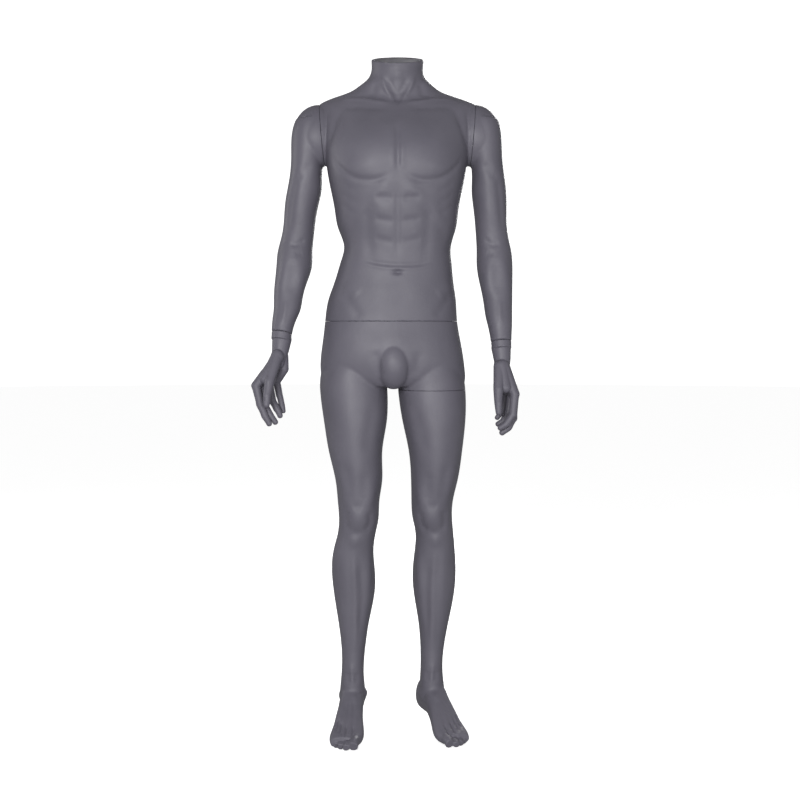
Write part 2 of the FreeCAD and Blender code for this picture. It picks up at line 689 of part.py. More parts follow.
def lock_key(joint):
    """Flange, stud and cross bar in one: the bar lies crosswise behind the receiver's slot."""
    body = design_body(joint + "_lock_key", seat(joint, True))
    rim = "Sizes." + plate_radius(joint)
    face = "Sizes.seam_gap / 2 + Sizes.plate_thickness"
    end = f"-({face} + Sizes.fit_gap + Sizes.key_thickness)"
    primitive(body.newObject, "PartDesign::AdditiveCylinder",
              {"Radius": f"{FLANGE} * {rim}", "Height": "Sizes.key_flange"}, face)
    primitive(body.newObject, "PartDesign::AdditiveCylinder",
              {"Radius": f"{STUD} * {rim}", "Height": f"{face} + Sizes.key_flange - ({end})"}, end)
    wide = f"2 * {KEY_REACH} * {rim}"
    centred_box(body, "PartDesign::AdditiveBox", f"{BAR_WIDTH * STUD} * {rim}", wide,
                "Sizes.key_thickness", end)
    return finished(body)


def screw_group(label, pose, circle, shank, count, face):
    """Countersunk screws round a circle, their heads flush with the plate."""
    pieces = []
    for i in range(count):
        spot = (circle, 90.0 + 360.0 * i / count)
        pieces.append(primitive(doc.addObject, "Part::Cone",
                                {"Radius1": f"2 * {shank} - 0.05", "Radius2": shank,
                                 "Height": "Sizes.screw_head_depth"}, face, spot))
        pieces.append(primitive(doc.addObject, "Part::Cylinder",
                                {"Radius": shank, "Height": "Sizes.screw_length"}, face, spot))
    group = doc.addObject("Part::MultiFuse", label)
    group.Label = label
    group.Shapes = pieces
    group.Placement = pose
    return finished(group)


def fitting_screws(joint, key_side):
    label = joint + ("_key_screws" if key_side else "_receiver_screws")
    circle = f"{SCREW_CIRCLE} * Sizes.{plate_radius(joint)}"
    shank = "Sizes." + screw_radius(joint)
    screw_group(label, seat(joint, key_side), circle, shank, SCREW_COUNT, "Sizes.seam_gap / 2")


def seat_cutter(joint, key_side):
    """What a fitting takes out of the board or hand behind it, in the body frame."""
    rim, shank = size(plate_radius(joint)), size(screw_radius(joint))
    tools = [Part.makeCylinder(rim + FIT, PLATE + 1, Vector(0, 0, HALF_GAP - 1))]
    behind = Vector(0, 0, HALF_GAP + PLATE)
    if key_side:
        tools.append(Part.makeCylinder(FLANGE * rim + FIT, size("key_flange"), behind))
    else:
        sweep = math.hypot(KEY_REACH, BAR_WIDTH * STUD / 2) * rim + 3 * FIT
        tools.append(Part.makeCylinder(sweep, BOARD, behind))
    for i in range(SCREW_COUNT):
        turn = math.radians(90.0 + 360.0 * i / SCREW_COUNT)
        spot = Vector(math.cos(turn), math.sin(turn), 0) * (SCREW_CIRCLE * rim)
        tools.append(Part.makeCylinder(shank + 0.05, size("screw_length") + 1, spot))
    cutter = tools[0].fuse(tools[1:])
    pose = seat(joint, key_side)
    pose.Base = pose.Base - SHIFT
    cutter.Placement = pose
    return cutter


def bulkhead(label, joint, key_side, skins):
    """Board that closes a shell at a seam and carries the fitting."""
    space = slab(joint, not key_side, HALF_GAP, HALF_GAP + BOARD)
    pieces = [skin.common(space) for skin in skins]
    board = pieces[0]
    if len(pieces) > 1:
        board = board.fuse(pieces[1:])
    moulded(label, largest(board.cut(seat_cutter(joint, key_side))))


def build_bulkheads():
    inset = WALL + size("glue_gap")
    trunk = trunk_skin(inset)
    bulkhead("torso_waist_bulkhead", "waist", False, [trunk])
    bulkhead("pelvis_waist_bulkhead", "waist", True, [trunk])
    left_thigh = leg_skin(1, inset)
    bulkhead("pelvis_thigh_bulkhead", "thigh", False, [left_thigh])
    bulkhead("left_thigh_bulkhead", "thigh", True, [left_thigh])
    for side, name in enumerate(SIDES):
        arm = arm_skin(side, inset)
        skins = [deltoid(side, inset), arm]
        bulkhead(f"torso_{name}_shoulder_bulkhead", name + "_shoulder", False, skins)
        bulkhead(f"{name}_arm_bulkhead", name + "_shoulder", True, skins)
        bulkhead(f"{name}_forearm_bulkhead", name + "_wrist", False, [arm])


def build_fittings():
    for joint in JOINTS:
        for key_side in (False, True):
            fitting_plate(joint, key_side)
            fitting_screws(joint, key_side)
        lock_key(joint)


# ---------------------------------------------------------------- display rod sockets
def heel_socket_axis():
    """Mouth under the right heel and the bore's direction, upwards."""
    heel, forward, _ = foot_frame(0)
    under = heel + forward * (0.17 * size("foot_length"))
    return under + Z_AXIS * (0.92 * size("heel_rise")), Z_AXIS


def calf_socket_axis():
    """Mouth low on the back of the right calf and the bore's direction, up and forwards."""
    slope = math.radians(size("calf_socket_slope"))
    share, mid_x, mid_y, girth, _, deep = LEG_RINGS[12]
    back = mid_y[0] + deep * size(girth + "_depth") / 2
    return Vector(mid_x[0], back, share * CROTCH), Vector(0, -math.sin(slope), math.cos(slope))


SOCKETS = (("heel_rod_socket", heel_socket_axis, "foot_socket_length"),
           ("calf_rod_socket", calf_socket_axis, "calf_socket_length"))


def socket_tube(axis, length, radius, overshoot):
    mouth, direction = axis()
    start = mouth - direction * overshoot
    return Part.makeCylinder(radius, size(length) + overshoot, start, direction)


def build_sockets():
    """Blind tubes, trimmed to the skin, for the bent rod of a display stand."""
    outer = size("rod_bore_radius") + size("rod_socket_wall")
    skin = leg_skin(0, 0).fuse(foot_skin(0, 0))
    for label, axis, length in SOCKETS:
        tube_body = socket_tube(axis, length, outer, 25).common(skin)
        mouth, direction = axis()
        bore = Part.makeCylinder(size("rod_bore_radius"), size(length) + 23, mouth - direction * 25, direction)
        moulded(label, largest(tube_body.cut(bore)))


# ---------------------------------------------------------------- neck
def neck_pose(depth):
    """Placement `depth` below the middle of the neck's cut, +Z going down into the neck."""
    point = Vector(0, 0, NECK_TOP) - neck_normal() * depth
    turn = FreeCAD.Rotation(X_AXIS, Vector(), neck_normal() * -1, "ZXY")
    return FreeCAD.Placement(point + SHIFT, turn)


def build_neck():
    """Recessed cap with a round cup, and the slotted plate that a head would lock into."""
    normal, top = neck_normal(), Vector(0, 0, NECK_TOP)
    inset = WALL + size("glue_gap")
    recess, thick = size("cap_recess"), size("cap_thickness")
    floor = recess + size("neck_socket_depth")
    radius = size("neck_socket_radius")
    plate_rim = radius - 4
    cap = trunk_skin(inset).common(half_space(top - normal * recess, normal * -1))
    cap = cap.cut(half_space(top - normal * (recess + thick), normal * -1))
    depth = floor + PLATE + thick - recess
    cup = Part.makeCylinder(radius + thick, depth, top - normal * recess, normal * -1)
    hollow = Part.makeCylinder(radius, floor, top, normal * -1)
    pocket = Part.makeCylinder(plate_rim + FIT, PLATE, top - normal * floor, normal * -1)
    cap = cap.fuse(cup).cut([hollow, pocket])
    for i in range(SCREW_COUNT):
        turn = math.radians(90.0 + 360.0 * i / SCREW_COUNT)
        spot = Vector(math.cos(turn), math.sin(turn), 0) * (SCREW_CIRCLE * plate_rim)
        hole = Part.makeCylinder(size("screw_radius") + 0.05, PLATE + thick + 1, spot)
        pose = neck_pose(floor)
        pose.Base = pose.Base - SHIFT
        hole.Placement = pose.multiply(hole.Placement)
        cap = cap.cut(hole)
    moulded("neck_cap", largest(cap))


def build_head_plate():
    depth = size("cap_recess") + size("neck_socket_depth")
    body = design_body("head_receiver_plate", neck_pose(depth))
    rim, shank = "(Sizes.neck_socket_radius - 4)", "Sizes.screw_radius"
    thick = "Sizes.plate_thickness"
    primitive(body.newObject, "PartDesign::AdditiveCylinder", {"Radius": rim, "Height": thick})
    primitive(body.newObject, "PartDesign::SubtractiveCylinder", {"Radius": f"0.2 * {rim}", "Height": thick})
    centred_box(body, "PartDesign::SubtractiveBox", f"1.1 * {rim}", f"0.3 * {rim}", thick, "0")
    spot = (f"{SCREW_CIRCLE} * {rim}", 90.0)
    cone = primitive(body.newObject, "PartDesign::SubtractiveCone",
                     {"Radius1": f"2 * {shank}", "Radius2": f"{shank} + 0.05",
                      "Height": "Sizes.screw_head_depth"}, "0", spot)
    hole = primitive(body.newObject, "PartDesign::SubtractiveCylinder",
                     {"Radius": f"{shank} + 0.05", "Height": thick}, "0", spot)
    doc.recompute()
    pattern = body.newObject("PartDesign::PolarPattern", "Screws")
    pattern.Originals = [cone, hole]
    pattern.Axis = (body.Origin.OriginFeatures[2], [""])
    pattern.Angle = 360
    pattern.Occurrences = SCREW_COUNT
    body.Tip = pattern
    finished(body)
    circle = f"{SCREW_CIRCLE} * {rim}"
    screw_group("head_plate_screws", neck_pose(depth), circle, shank, SCREW_COUNT, "0")


# ---------------------------------------------------------------- shells and hands
def build_shells():
    moulded("torso_shell", largest(torso_body(0).cut(torso_body(WALL))))
    pelvis = lower_body(0).cut(lower_body(WALL))
    outer = size("rod_bore_radius") + size("rod_socket_wall")
    for _, axis, length in SOCKETS:
        pelvis = pelvis.cut(socket_tube(axis, length, outer + FIT, 25))
    moulded("pelvis_right_leg_shell", largest(pelvis))
    moulded("left_leg_shell", largest(left_leg_body(0).cut(left_leg_body(WALL))))
    for side, name in enumerate(SIDES):
        moulded(name + "_arm_shell", largest(arm_body(side, 0).cut(arm_body(side, WALL))))


def build_hands():
    for side, name in enumerate(SIDES):
        joint = name + "_wrist"
        stub = arm_skin(side, 0).common(beyond(joint, False, HALF_GAP))
        hand = palm_skin(side).fuse([stub, *digits(side)])
        moulded(name + "_hand", largest(hand.cut(seat_cutter(joint, True))))


build_shells()
build_bulkheads()
build_hands()
build_neck()
build_head_plate()
build_sockets()
build_fittings()
doc.recompute()

os.makedirs("parts", exist_ok=True)
for item in parts:
    shape = item.Shape
    broken = [word for word in item.State if word in ("Invalid", "Error")]
    if broken or shape.isNull() or not shape.isValid():
        raise RuntimeError(f"{item.Label} failed to build")
    shape.exportStep(f"parts/{item.Label}.step")
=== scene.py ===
"""Full body shop mannequin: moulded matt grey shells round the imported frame."""

import json
import math

import bmesh
import bpy
import numpy as np
from mathutils import Matrix, Vector
from mathutils.bvhtree import BVHTree

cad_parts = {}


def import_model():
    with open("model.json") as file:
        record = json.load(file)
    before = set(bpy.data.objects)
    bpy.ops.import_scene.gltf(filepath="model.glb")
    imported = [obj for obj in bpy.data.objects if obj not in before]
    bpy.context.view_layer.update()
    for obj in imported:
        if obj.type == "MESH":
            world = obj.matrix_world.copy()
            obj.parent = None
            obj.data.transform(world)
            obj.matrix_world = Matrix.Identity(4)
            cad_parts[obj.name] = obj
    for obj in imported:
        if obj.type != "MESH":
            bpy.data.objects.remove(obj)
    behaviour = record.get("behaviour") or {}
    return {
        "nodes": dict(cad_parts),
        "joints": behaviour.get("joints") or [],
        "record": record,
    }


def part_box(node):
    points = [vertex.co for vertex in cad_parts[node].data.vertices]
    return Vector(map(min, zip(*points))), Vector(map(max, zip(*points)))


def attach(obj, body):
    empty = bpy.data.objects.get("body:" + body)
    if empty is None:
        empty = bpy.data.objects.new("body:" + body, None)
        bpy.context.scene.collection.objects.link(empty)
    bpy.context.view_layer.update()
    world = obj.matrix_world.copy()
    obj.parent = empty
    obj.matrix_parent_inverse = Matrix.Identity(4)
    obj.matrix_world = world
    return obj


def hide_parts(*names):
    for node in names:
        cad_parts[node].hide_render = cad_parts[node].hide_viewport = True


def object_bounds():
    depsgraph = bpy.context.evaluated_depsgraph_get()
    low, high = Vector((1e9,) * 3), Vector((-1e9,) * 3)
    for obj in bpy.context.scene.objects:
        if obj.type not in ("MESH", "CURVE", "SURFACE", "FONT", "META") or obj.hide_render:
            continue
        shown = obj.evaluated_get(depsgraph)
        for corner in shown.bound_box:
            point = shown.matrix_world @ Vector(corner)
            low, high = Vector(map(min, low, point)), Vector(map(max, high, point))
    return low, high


MM = 0.001
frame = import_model()
cad_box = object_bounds()
scene = bpy.context.scene

SEAMS = {j["name"]: (Vector(j["pos_m"]), Vector(j["axis"]).normalized()) for j in frame["joints"]}
NECK_LOW, NECK_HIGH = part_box("neck_cap")
MIDDLE = (NECK_LOW.x + NECK_HIGH.x) / 2
TALL = cad_box[1].z / 1.630
RIGHT, LEFT = -1, 1
SIDE_NAMES = {RIGHT: "right", LEFT: "left"}
MOUNTS = {
    m["name"]: (Vector(m["pos_m"]), Vector(m["axis"]).normalized(), m["dims"])
    for m in frame["record"]["mounts"]
}
NECK_AXIS = MOUNTS["neck_socket"][1]
NECK_TOP = MOUNTS["neck_socket"][0] + NECK_AXIS * 9 * MM
HEEL_SOCKET, CALF_SOCKET = MOUNTS["heel_rod_bore"], MOUNTS["calf_rod_bore"]
WALL = 4.0 * MM
SEAM_GAP = 0.25 * MM
BOARD_DEPTH = 9.6 * MM
NECK_DEPTH = 27 * MM
BODY_GRAIN = 2.8 * MM
FOOT_GRAIN = 1.7 * MM
HAND_GRAIN = 1.25 * MM
ANKLE_LEVEL = 96 * MM
SPLICE = 4 * MM


# ------------------------------------------------------------------ meshes
def linked(name, mesh):
    piece = bpy.data.objects.new(name, mesh)
    scene.collection.objects.link(piece)
    return piece


def joined_copy(nodes):
    """Merged copy of some CAD meshes."""
    bm = bmesh.new()
    for node in nodes:
        bm.from_mesh(frame["nodes"][node].data)
    bmesh.ops.remove_doubles(bm, verts=bm.verts, dist=1e-6)
    return bm


def one_skin(bm, grain):
    """The outermost skin of some closed shapes, in even squares."""
    mesh = bpy.data.meshes.new("skin")
    bm.to_mesh(mesh)
    bm.free()
    holder = linked("skin", mesh)
    remesh = holder.modifiers.new("Remesh", "REMESH")
    remesh.mode = "VOXEL"
    remesh.voxel_size = grain
    bpy.context.view_layer.update()
    even = bpy.data.meshes.new_from_object(
        holder.evaluated_get(bpy.context.evaluated_depsgraph_get())
    )
    bpy.data.objects.remove(holder)
    bm = bmesh.new()
    bm.from_mesh(even)
    bpy.data.meshes.remove(even)
    keep = max(islands(bm), key=reach)
    inner = [v for v in bm.verts if v not in keep]
    bmesh.ops.delete(bm, geom=inner, context="VERTS")
    return bm


def islands(bm):
    """The connected groups of a mesh's points."""
    found, seen = [], set()
    for start in bm.verts:
        if start in seen:
            continue
        group, waiting = {start}, [start]
        while waiting:
            vert = waiting.pop()
            for edge in vert.link_edges:
                other = edge.other_vert(vert)
                if other not in group:
                    group.add(other)
                    waiting.append(other)
        seen |= group
        found.append(group)
    return found


def reach(group):
    co = np.array([v.co for v in group])
    return float(np.ptp(co, axis=0).sum())


def arrays(bm):
    bm.verts.index_update()
    co = np.array([v.co for v in bm.verts])
    links = np.array([[v.index for v in e.verts] for e in bm.edges])
    return co, links


def put(bm, co):
    for vert, place in zip(bm.verts, co):
        vert.co = place
    bm.normal_update()


def neighbour_mean(values, links):
    total = np.zeros_like(values)
    count = np.bincount(links.ravel(), minlength=len(values))
    for k in range(values.shape[1]):
        column = values[:, k]
        total[:, k] = np.bincount(links[:, 0], column[links[:, 1]], len(values))
        total[:, k] += np.bincount(links[:, 1], column[links[:, 0]], len(values))
    return total / np.maximum(count, 1)[:, None]


def relaxed(co, links, rounds, weight=None):
    """Points smoothed without shrinking. Weight is 0 to 1 for each point."""
    co = co.copy()
    weight = np.ones(len(co)) if weight is None else weight
    for _ in range(rounds):
        for step in (0.50, -0.52):
            co += (step * weight)[:, None] * (neighbour_mean(co, links) - co)
    return co


def smooth_normals(bm, links, rounds=6):
    normals = np.array([v.normal for v in bm.verts])
    for _ in range(rounds):
        normals = 0.5 * normals + 0.5 * neighbour_mean(normals, links)
    return normals / np.maximum(np.linalg.norm(normals, axis=1), 1e-9)[:, None]


# ------------------------------------------------------------------ where things are on the figure
def spans(node, lowest, highest):
    """Left and right extents of a CAD piece at every centimetre of its height."""
    co = np.array([v.co for v in frame["nodes"][node].data.vertices])
    found = {}
    for level in np.arange(lowest, highest, 10 * MM):
        near = co[np.abs(co[:, 2] - level) < 9 * MM]
        if len(near):
            found[level] = (near[:, 0].min(), near[:, 0].max(), near[:, 1].min(), near[:, 1].max())
    levels = np.array(sorted(found))
    return levels, np.array([found[z] for z in levels])


class Limb:
    """A leg or an arm: finds points by height and by share of its half width."""

    def __init__(self, node, side, lowest, highest):
        self.side = side
        self.levels, self.ends = spans(node, lowest, highest)

    def across(self, share, level):
        """Share runs from -1 at the side next to the body to +1 at the outer side."""
        low = np.interp(level, self.levels, self.ends[:, 0])
        high = np.interp(level, self.levels, self.ends[:, 1])
        return (low + high) / 2 + self.side * share * (high - low) / 2


LEGS = {
    RIGHT: Limb("pelvis_right_leg_shell", RIGHT, 60 * MM, 810 * MM),
    LEFT: Limb("left_leg_shell", LEFT, 60 * MM, 810 * MM),
}
ARMS = {
    side: Limb(
        name + "_arm_shell", side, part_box(name + "_arm_shell")[0].z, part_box(name + "_arm_shell")[1].z
    )
    for side, name in SIDE_NAMES.items()
}


class Modelling:
    """Ridges, hollows and pads pressed into a skin, all worked out on the plain skin first."""

    def __init__(self, bm):
        self.bm = bm
        self.co, self.links = arrays(bm)
        self.normals = smooth_normals(bm, self.links)
        self.tree = BVHTree.FromBMesh(bm)
        self.rise = np.zeros(len(self.co))

    def touch(self, start, way):
        """Point of the skin first met from a start along a way, and how it faces."""
        place, normal, _, _ = self.tree.ray_cast(Vector(start), Vector(way))
        return place, normal

    def line(self, starts, way, wide, high, fade=True):
        """A ridge (high above 0) or a crease (below 0) under a smooth line of starts."""
        met = [self.touch(start, way) for start in curve_through(starts)]
        met = [(p, n) for p, n in met if p is not None]
        if len(met) < 2:
            return
        places = np.array([p for p, _ in met])
        facing = np.array([n for _, n in met])
        self.press(places, facing, wide, high, fade)

    def press(self, places, facing, wide, high, fade):
        low, top = places.min(0) - 3 * wide, places.max(0) + 3 * wide
        near = np.where(((self.co > low) & (self.co < top)).all(1))[0]
        if not len(near):
            return
        best = np.full(len(near), 1e9)
        share = np.zeros(len(near))
        owner = np.zeros(len(near), int)
        spot = self.co[near]
        for i in range(len(places) - 1):
            a, b = places[i], places[i + 1]
            run = b - a
            t = np.clip(((spot - a) @ run) / max(run @ run, 1e-12), 0, 1)
            away = np.linalg.norm(spot - (a + t[:, None] * run), axis=1)
            closer = away < best
            best[closer] = away[closer]
            share[closer] = (i + t[closer]) / (len(places) - 1)
            owner[closer] = i
        strength = np.exp(-((best / wide) ** 2))
        if fade:
            strength *= np.clip(np.minimum(share, 1 - share) / 0.22, 0.12, 1)
        agree = (self.normals[near] * facing[owner]).sum(1)
        strength *= np.clip((agree + 0.1) / 0.6, 0, 1)
        self.rise[near] += high * strength

    def pad(self, start, way, wide, tall, high, turn=0.0, firm=2.0, upward=(0, 0, 1)):
        """A rounded swelling, or a hollow, with its own width, height and turn."""
        place, normal = self.touch(start, way)
        if place is None:
            return
        up = Matrix.Rotation(math.radians(turn), 3, normal) @ Vector(upward)
        up = (up - normal * up.dot(normal)).normalized()
        side = up.cross(normal)
        away = self.co - np.array(place)
        u, v = away @ np.array(side) / wide, away @ np.array(up) / tall
        strength = np.exp(-(np.abs(u) ** firm + np.abs(v) ** firm))
        strength[np.abs(away @ np.array(normal)) > 1.4 * max(wide, tall)] = 0
        agree = self.normals @ np.array(normal)
        self.rise += high * strength * np.clip((agree + 0.1) / 0.6, 0, 1)

    def done(self, rounds=1):
        co = self.co + self.normals * self.rise[:, None]
        put(self.bm, relaxed(co, self.links, rounds))


def curve_through(points, step=4 * MM):
    """Evenly spaced points on a smooth line through the given ones."""
    pts = np.array(points, float)
    ends = np.vstack([2 * pts[0] - pts[1], pts, 2 * pts[-1] - pts[-2]])
    found = []
    for a, b, c, d in zip(ends, ends[1:], ends[2:], ends[3:]):
        count = max(2, int(np.linalg.norm(c - b) / step))
        for t in np.linspace(0, 1, count, endpoint=False):
            bend = (2 * a - 5 * b + 4 * c - d) * t**2 + (3 * b - a - 3 * c + d) * t**3
            found.append(0.5 * (2 * b + (c - a) * t + bend))
    found.append(pts[-1])
    return [tuple(p) for p in found]


WAYS = {"front": Vector((0, 1, 0)), "back": Vector((0, -1, 0))}


def before(x, z, face):
    """Start of a look at the skin from the front or the back."""
    return (x, -WAYS[face].y, z)


def chart(across, up, side=1):
    """A place on the trunk, from millimetres off the middle plane and above the floor."""
    return MIDDLE + side * across * MM, up * MM * TALL


def trunk_line(work, points, wide, high, face="front", sides=(RIGHT, LEFT), fade=True):
    for side in sides:
        starts = [before(*chart(a, u, side), face) for a, u in points]
        work.line(starts, WAYS[face], wide * MM, high * MM, fade)


def trunk_pad(work, across, up, wide, tall, high, face="front", turn=0.0, sides=(RIGHT, LEFT), firm=2.0):
    for side in sides:
        lean = turn * side if face == "front" else -turn * side
        start = before(*chart(across, up, side), face)
        work.pad(start, WAYS[face], wide * MM, tall * MM, high * MM, lean, firm)


def limb_line(work, limb, points, wide, high, face="front", fade=True):
    """Points are (share across the limb, millimetres above the floor)."""
    starts = [before(limb.across(share, up * MM * TALL), up * MM * TALL, face) for share, up in points]
    work.line(starts, WAYS[face], wide * MM, high * MM, fade)


def limb_pad(work, limb, share, up, wide, tall, high, face="front", turn=0.0, firm=2.0):
    z = up * MM * TALL
    lean = turn * limb.side if face == "front" else -turn * limb.side
    start = before(limb.across(share, z), z, face)
    work.pad(start, WAYS[face], wide * MM, tall * MM, high * MM, lean, firm)


# ------------------------------------------------------------------ modelling of the figure
def model_chest(work):
    trunk_pad(work, 74, 1385, 66, 54, 6.0, turn=-14, firm=2.2)
    trunk_pad(work, 92, 1342, 46, 22, 2.2, turn=-10)
    trunk_line(work, [(14, 1330), (36, 1318), (62, 1313), (100, 1320), (134, 1346), (150, 1372)], 8, -3.4)
    trunk_line(work, [(24, 1302), (70, 1298), (112, 1306)], 13, -1.2)
    trunk_line(work, [(0, 1450), (0, 1400), (0, 1326)], 7.5, -3.6, sides=(RIGHT,))
    trunk_line(work, [(9, 1400), (9, 1335)], 7, 1.2)
    trunk_line(work, [(12, 1497), (50, 1504), (95, 1512), (142, 1510)], 7, 2.6)
    trunk_line(work, [(24, 1484), (62, 1487), (104, 1491), (140, 1488)], 10, -1.8)
    trunk_pad(work, 0, 1510, 11, 11, -4.5, sides=(RIGHT,))
    trunk_line(work, [(40, 1566), (27, 1533), (9, 1506)], 6, 3.6)
    trunk_line(work, [(52, 1552), (58, 1530), (62, 1514)], 10, -2.6)
    trunk_line(work, [(22, 1560), (10, 1532), (2, 1516)], 7, -2.2)
    trunk_pad(work, 0, 1566, 12, 18, 2.2, sides=(RIGHT,))
    trunk_line(work, [(132, 1492), (150, 1440), (164, 1392)], 11, -2.8)
    trunk_pad(work, 182, 1440, 30, 56, 2.6, turn=6)
    trunk_pad(work, 118, 1258, 24, 46, 1.6, turn=16)


def model_belly(work):
    trunk_line(work, [(0, 1312), (0, 1240), (0, 1180), (0, 1130)], 8, -2.4, sides=(RIGHT,))
    for level, depth, tilt in ((1270, -1.9, 6), (1218, -1.5, 9), (1170, -1.2, 12)):
        trunk_line(work, [(8, level), (30, level + tilt / 2), (56, level + tilt)], 9, depth)
    for level, tall, high in ((1295, 20, 1.6), (1245, 22, 2.2), (1194, 20, 1.6)):
        trunk_pad(work, 31, level, 24, tall, high, firm=2.2)
    trunk_line(work, [(62, 1290), (70, 1240), (68, 1170), (58, 1120)], 14, -2.0)
    trunk_line(work, [(16, 1306), (52, 1278), (88, 1240), (112, 1206)], 12, 1.6)
    trunk_line(work, [(64, 1250), (94, 1212), (116, 1176)], 13, -1.6)
    for lift in (0, 26, 52):
        trunk_line(work, [(90, 1236 + lift), (112, 1246 + lift), (130, 1264 + lift)], 8, -0.8)
    trunk_pad(work, 98, 1128, 30, 44, 2.4, turn=12)
    trunk_pad(work, 36, 1064, 34, 36, 2.2)
    trunk_line(work, [(128, 1050), (106, 1022), (86, 992)], 12, -1.8)
    trunk_line(work, [(128, 1070), (108, 1062), (92, 1046)], 14, 2.0)
    trunk_pad(work, 0, 1103, 10.0, 5.0, -6.5, sides=(RIGHT,))
    trunk_line(work, [(-96, 1132), (-50, 1121), (0, 1119), (50, 1124), (96, 1136)], 5.5, -1.7, sides=(RIGHT,))
    trunk_line(work, [(-90, 1124), (-48, 1113), (0, 1111), (48, 1116), (90, 1128)], 5.0, 1.6, sides=(RIGHT,))
    trunk_pad(work, 2, 908, 42, 60, 4.6, sides=(RIGHT,))
    trunk_line(work, [(52, 925), (46, 890), (34, 856)], 13, -2.2)


def model_back(work):
    trunk_line(work, [(0, 1500), (0, 1400), (0, 1250), (0, 1120), (0, 1030)], 13, -6.0, "back", (RIGHT,))
    trunk_line(work, [(26, 1300), (30, 1200), (30, 1110), (26, 1040)], 17, 3.6, "back")
    trunk_line(work, [(60, 1440), (58, 1390), (74, 1330)], 14, -3.2, "back")
    trunk_pad(work, 92, 1400, 34, 50, 5.0, "back", turn=-12)
    trunk_line(work, [(60, 1452), (100, 1462), (140, 1470)], 10, 2.6, "back")
    trunk_line(work, [(72, 1432), (108, 1440), (140, 1444)], 10, -2.4, "back")
    trunk_pad(work, 46, 1505, 32, 36, 3.0, "back", turn=30)
    trunk_line(work, [(100, 1340), (124, 1290), (118, 1210), (96, 1140)], 16, 3.2, "back")
    trunk_line(work, [(84, 1330), (100, 1270), (92, 1190), (74, 1120)], 13, -2.4, "back")
    trunk_line(work, [(0, 1020), (0, 960), (0, 900), (0, 858)], 9, -8.0, "back", (RIGHT,))
    trunk_pad(work, 38, 1046, 9, 10, -2.4, "back")
    trunk_pad(work, 74, 930, 56, 62, 5.0, "back", firm=2.3)
    trunk_line(work, [(120, 960), (128, 920), (118, 880)], 18, -4.0, "back")
    trunk_line(work, [(14, 838), (50, 828), (92, 834), (124, 852)], 9, -4.6, "back")


def model_legs(work):
    for limb in LEGS.values():
        limb_pad(work, limb, 0.05, 640, 26, 110, 3.6)
        limb_pad(work, limb, -0.52, 570, 18, 40, 4.6, turn=12)
        limb_pad(work, limb, 0.58, 600, 17, 52, 3.6, turn=-10)
        limb_line(work, limb, [(-0.30, 640), (-0.26, 590), (-0.34, 556)], 12, -1.8)
        limb_line(work, limb, [(0.40, 660), (0.36, 600), (0.40, 556)], 12, -1.8)
        limb_line(work, limb, [(-0.62, 800), (-0.45, 730), (-0.40, 670)], 16, -2.2)
        limb_pad(work, limb, 0.0, 522, 22, 23, 3.6, firm=2.3)
        limb_line(work, limb, [(-0.48, 545), (-0.56, 514), (-0.38, 486)], 10, -2.4)
        limb_line(work, limb, [(0.48, 547), (0.56, 516), (0.38, 488)], 10, -2.4)
        limb_line(work, limb, [(-0.25, 550), (0.0, 554), (0.25, 550)], 10, -1.4)
        limb_line(work, limb, [(-0.28, 492), (0.0, 488), (0.28, 492)], 9, -1.6)
        limb_pad(work, limb, 0.0, 468, 12, 14, 3.0)
        limb_line(work, limb, [(0.02, 455), (-0.08, 380), (-0.12, 280), (-0.10, 190)], 8, 2.6)
        limb_line(work, limb, [(-0.34, 430), (-0.42, 340), (-0.40, 240)], 10, -2.4)
        limb_pad(work, limb, 0.34, 370, 15, 70, 2.6)
        limb_pad(work, limb, -0.72, 392, 14, 50, 3.0)
        limb_line(work, limb, [(0.10, 170), (0.02, 140), (-0.05, 118)], 5, 1.6)
        limb_line(work, limb, [(0.36, 150), (0.34, 122)], 8, -1.8)
        limb_line(work, limb, [(-0.42, 150), (-0.40, 122)], 8, -1.8)
        limb_pad(work, limb, 0.42, 690, 30, 105, 3.2, "back", turn=4)
        limb_pad(work, limb, -0.36, 690, 26, 105, 3.0, "back", turn=-4)
        limb_line(work, limb, [(0.02, 760), (0.02, 690), (0.04, 600)], 12, -3.6, "back")
        limb_line(work, limb, [(0.52, 580), (0.60, 540), (0.56, 500)], 7, 3.6, "back")
        limb_line(work, limb, [(-0.50, 580), (-0.58, 540), (-0.54, 500)], 7, 3.4, "back")
        limb_pad(work, limb, 0.0, 532, 20, 30, -3.8, "back")
        limb_line(work, limb, [(-0.34, 530), (0.0, 526), (0.34, 530)], 3.4, -1.4, "back")
        limb_pad(work, limb, -0.40, 400, 20, 70, 4.4, "back", turn=-3)
        limb_pad(work, limb, 0.38, 414, 19, 62, 4.0, "back", turn=3)
        limb_line(work, limb, [(0.0, 470), (-0.02, 410), (-0.02, 340)], 8, -3.0, "back")
        limb_line(work, limb, [(-0.50, 330), (-0.20, 306), (0.0, 318), (0.30, 318)], 10, -2.0, "back")
        limb_line(work, limb, [(0.0, 280), (0.0, 190), (0.0, 110)], 9, 2.6, "back")
        limb_line(work, limb, [(0.58, 220), (0.56, 150), (0.50, 100)], 8, -2.8, "back")
        limb_line(work, limb, [(-0.58, 220), (-0.56, 150), (-0.50, 100)], 8, -2.8, "back")


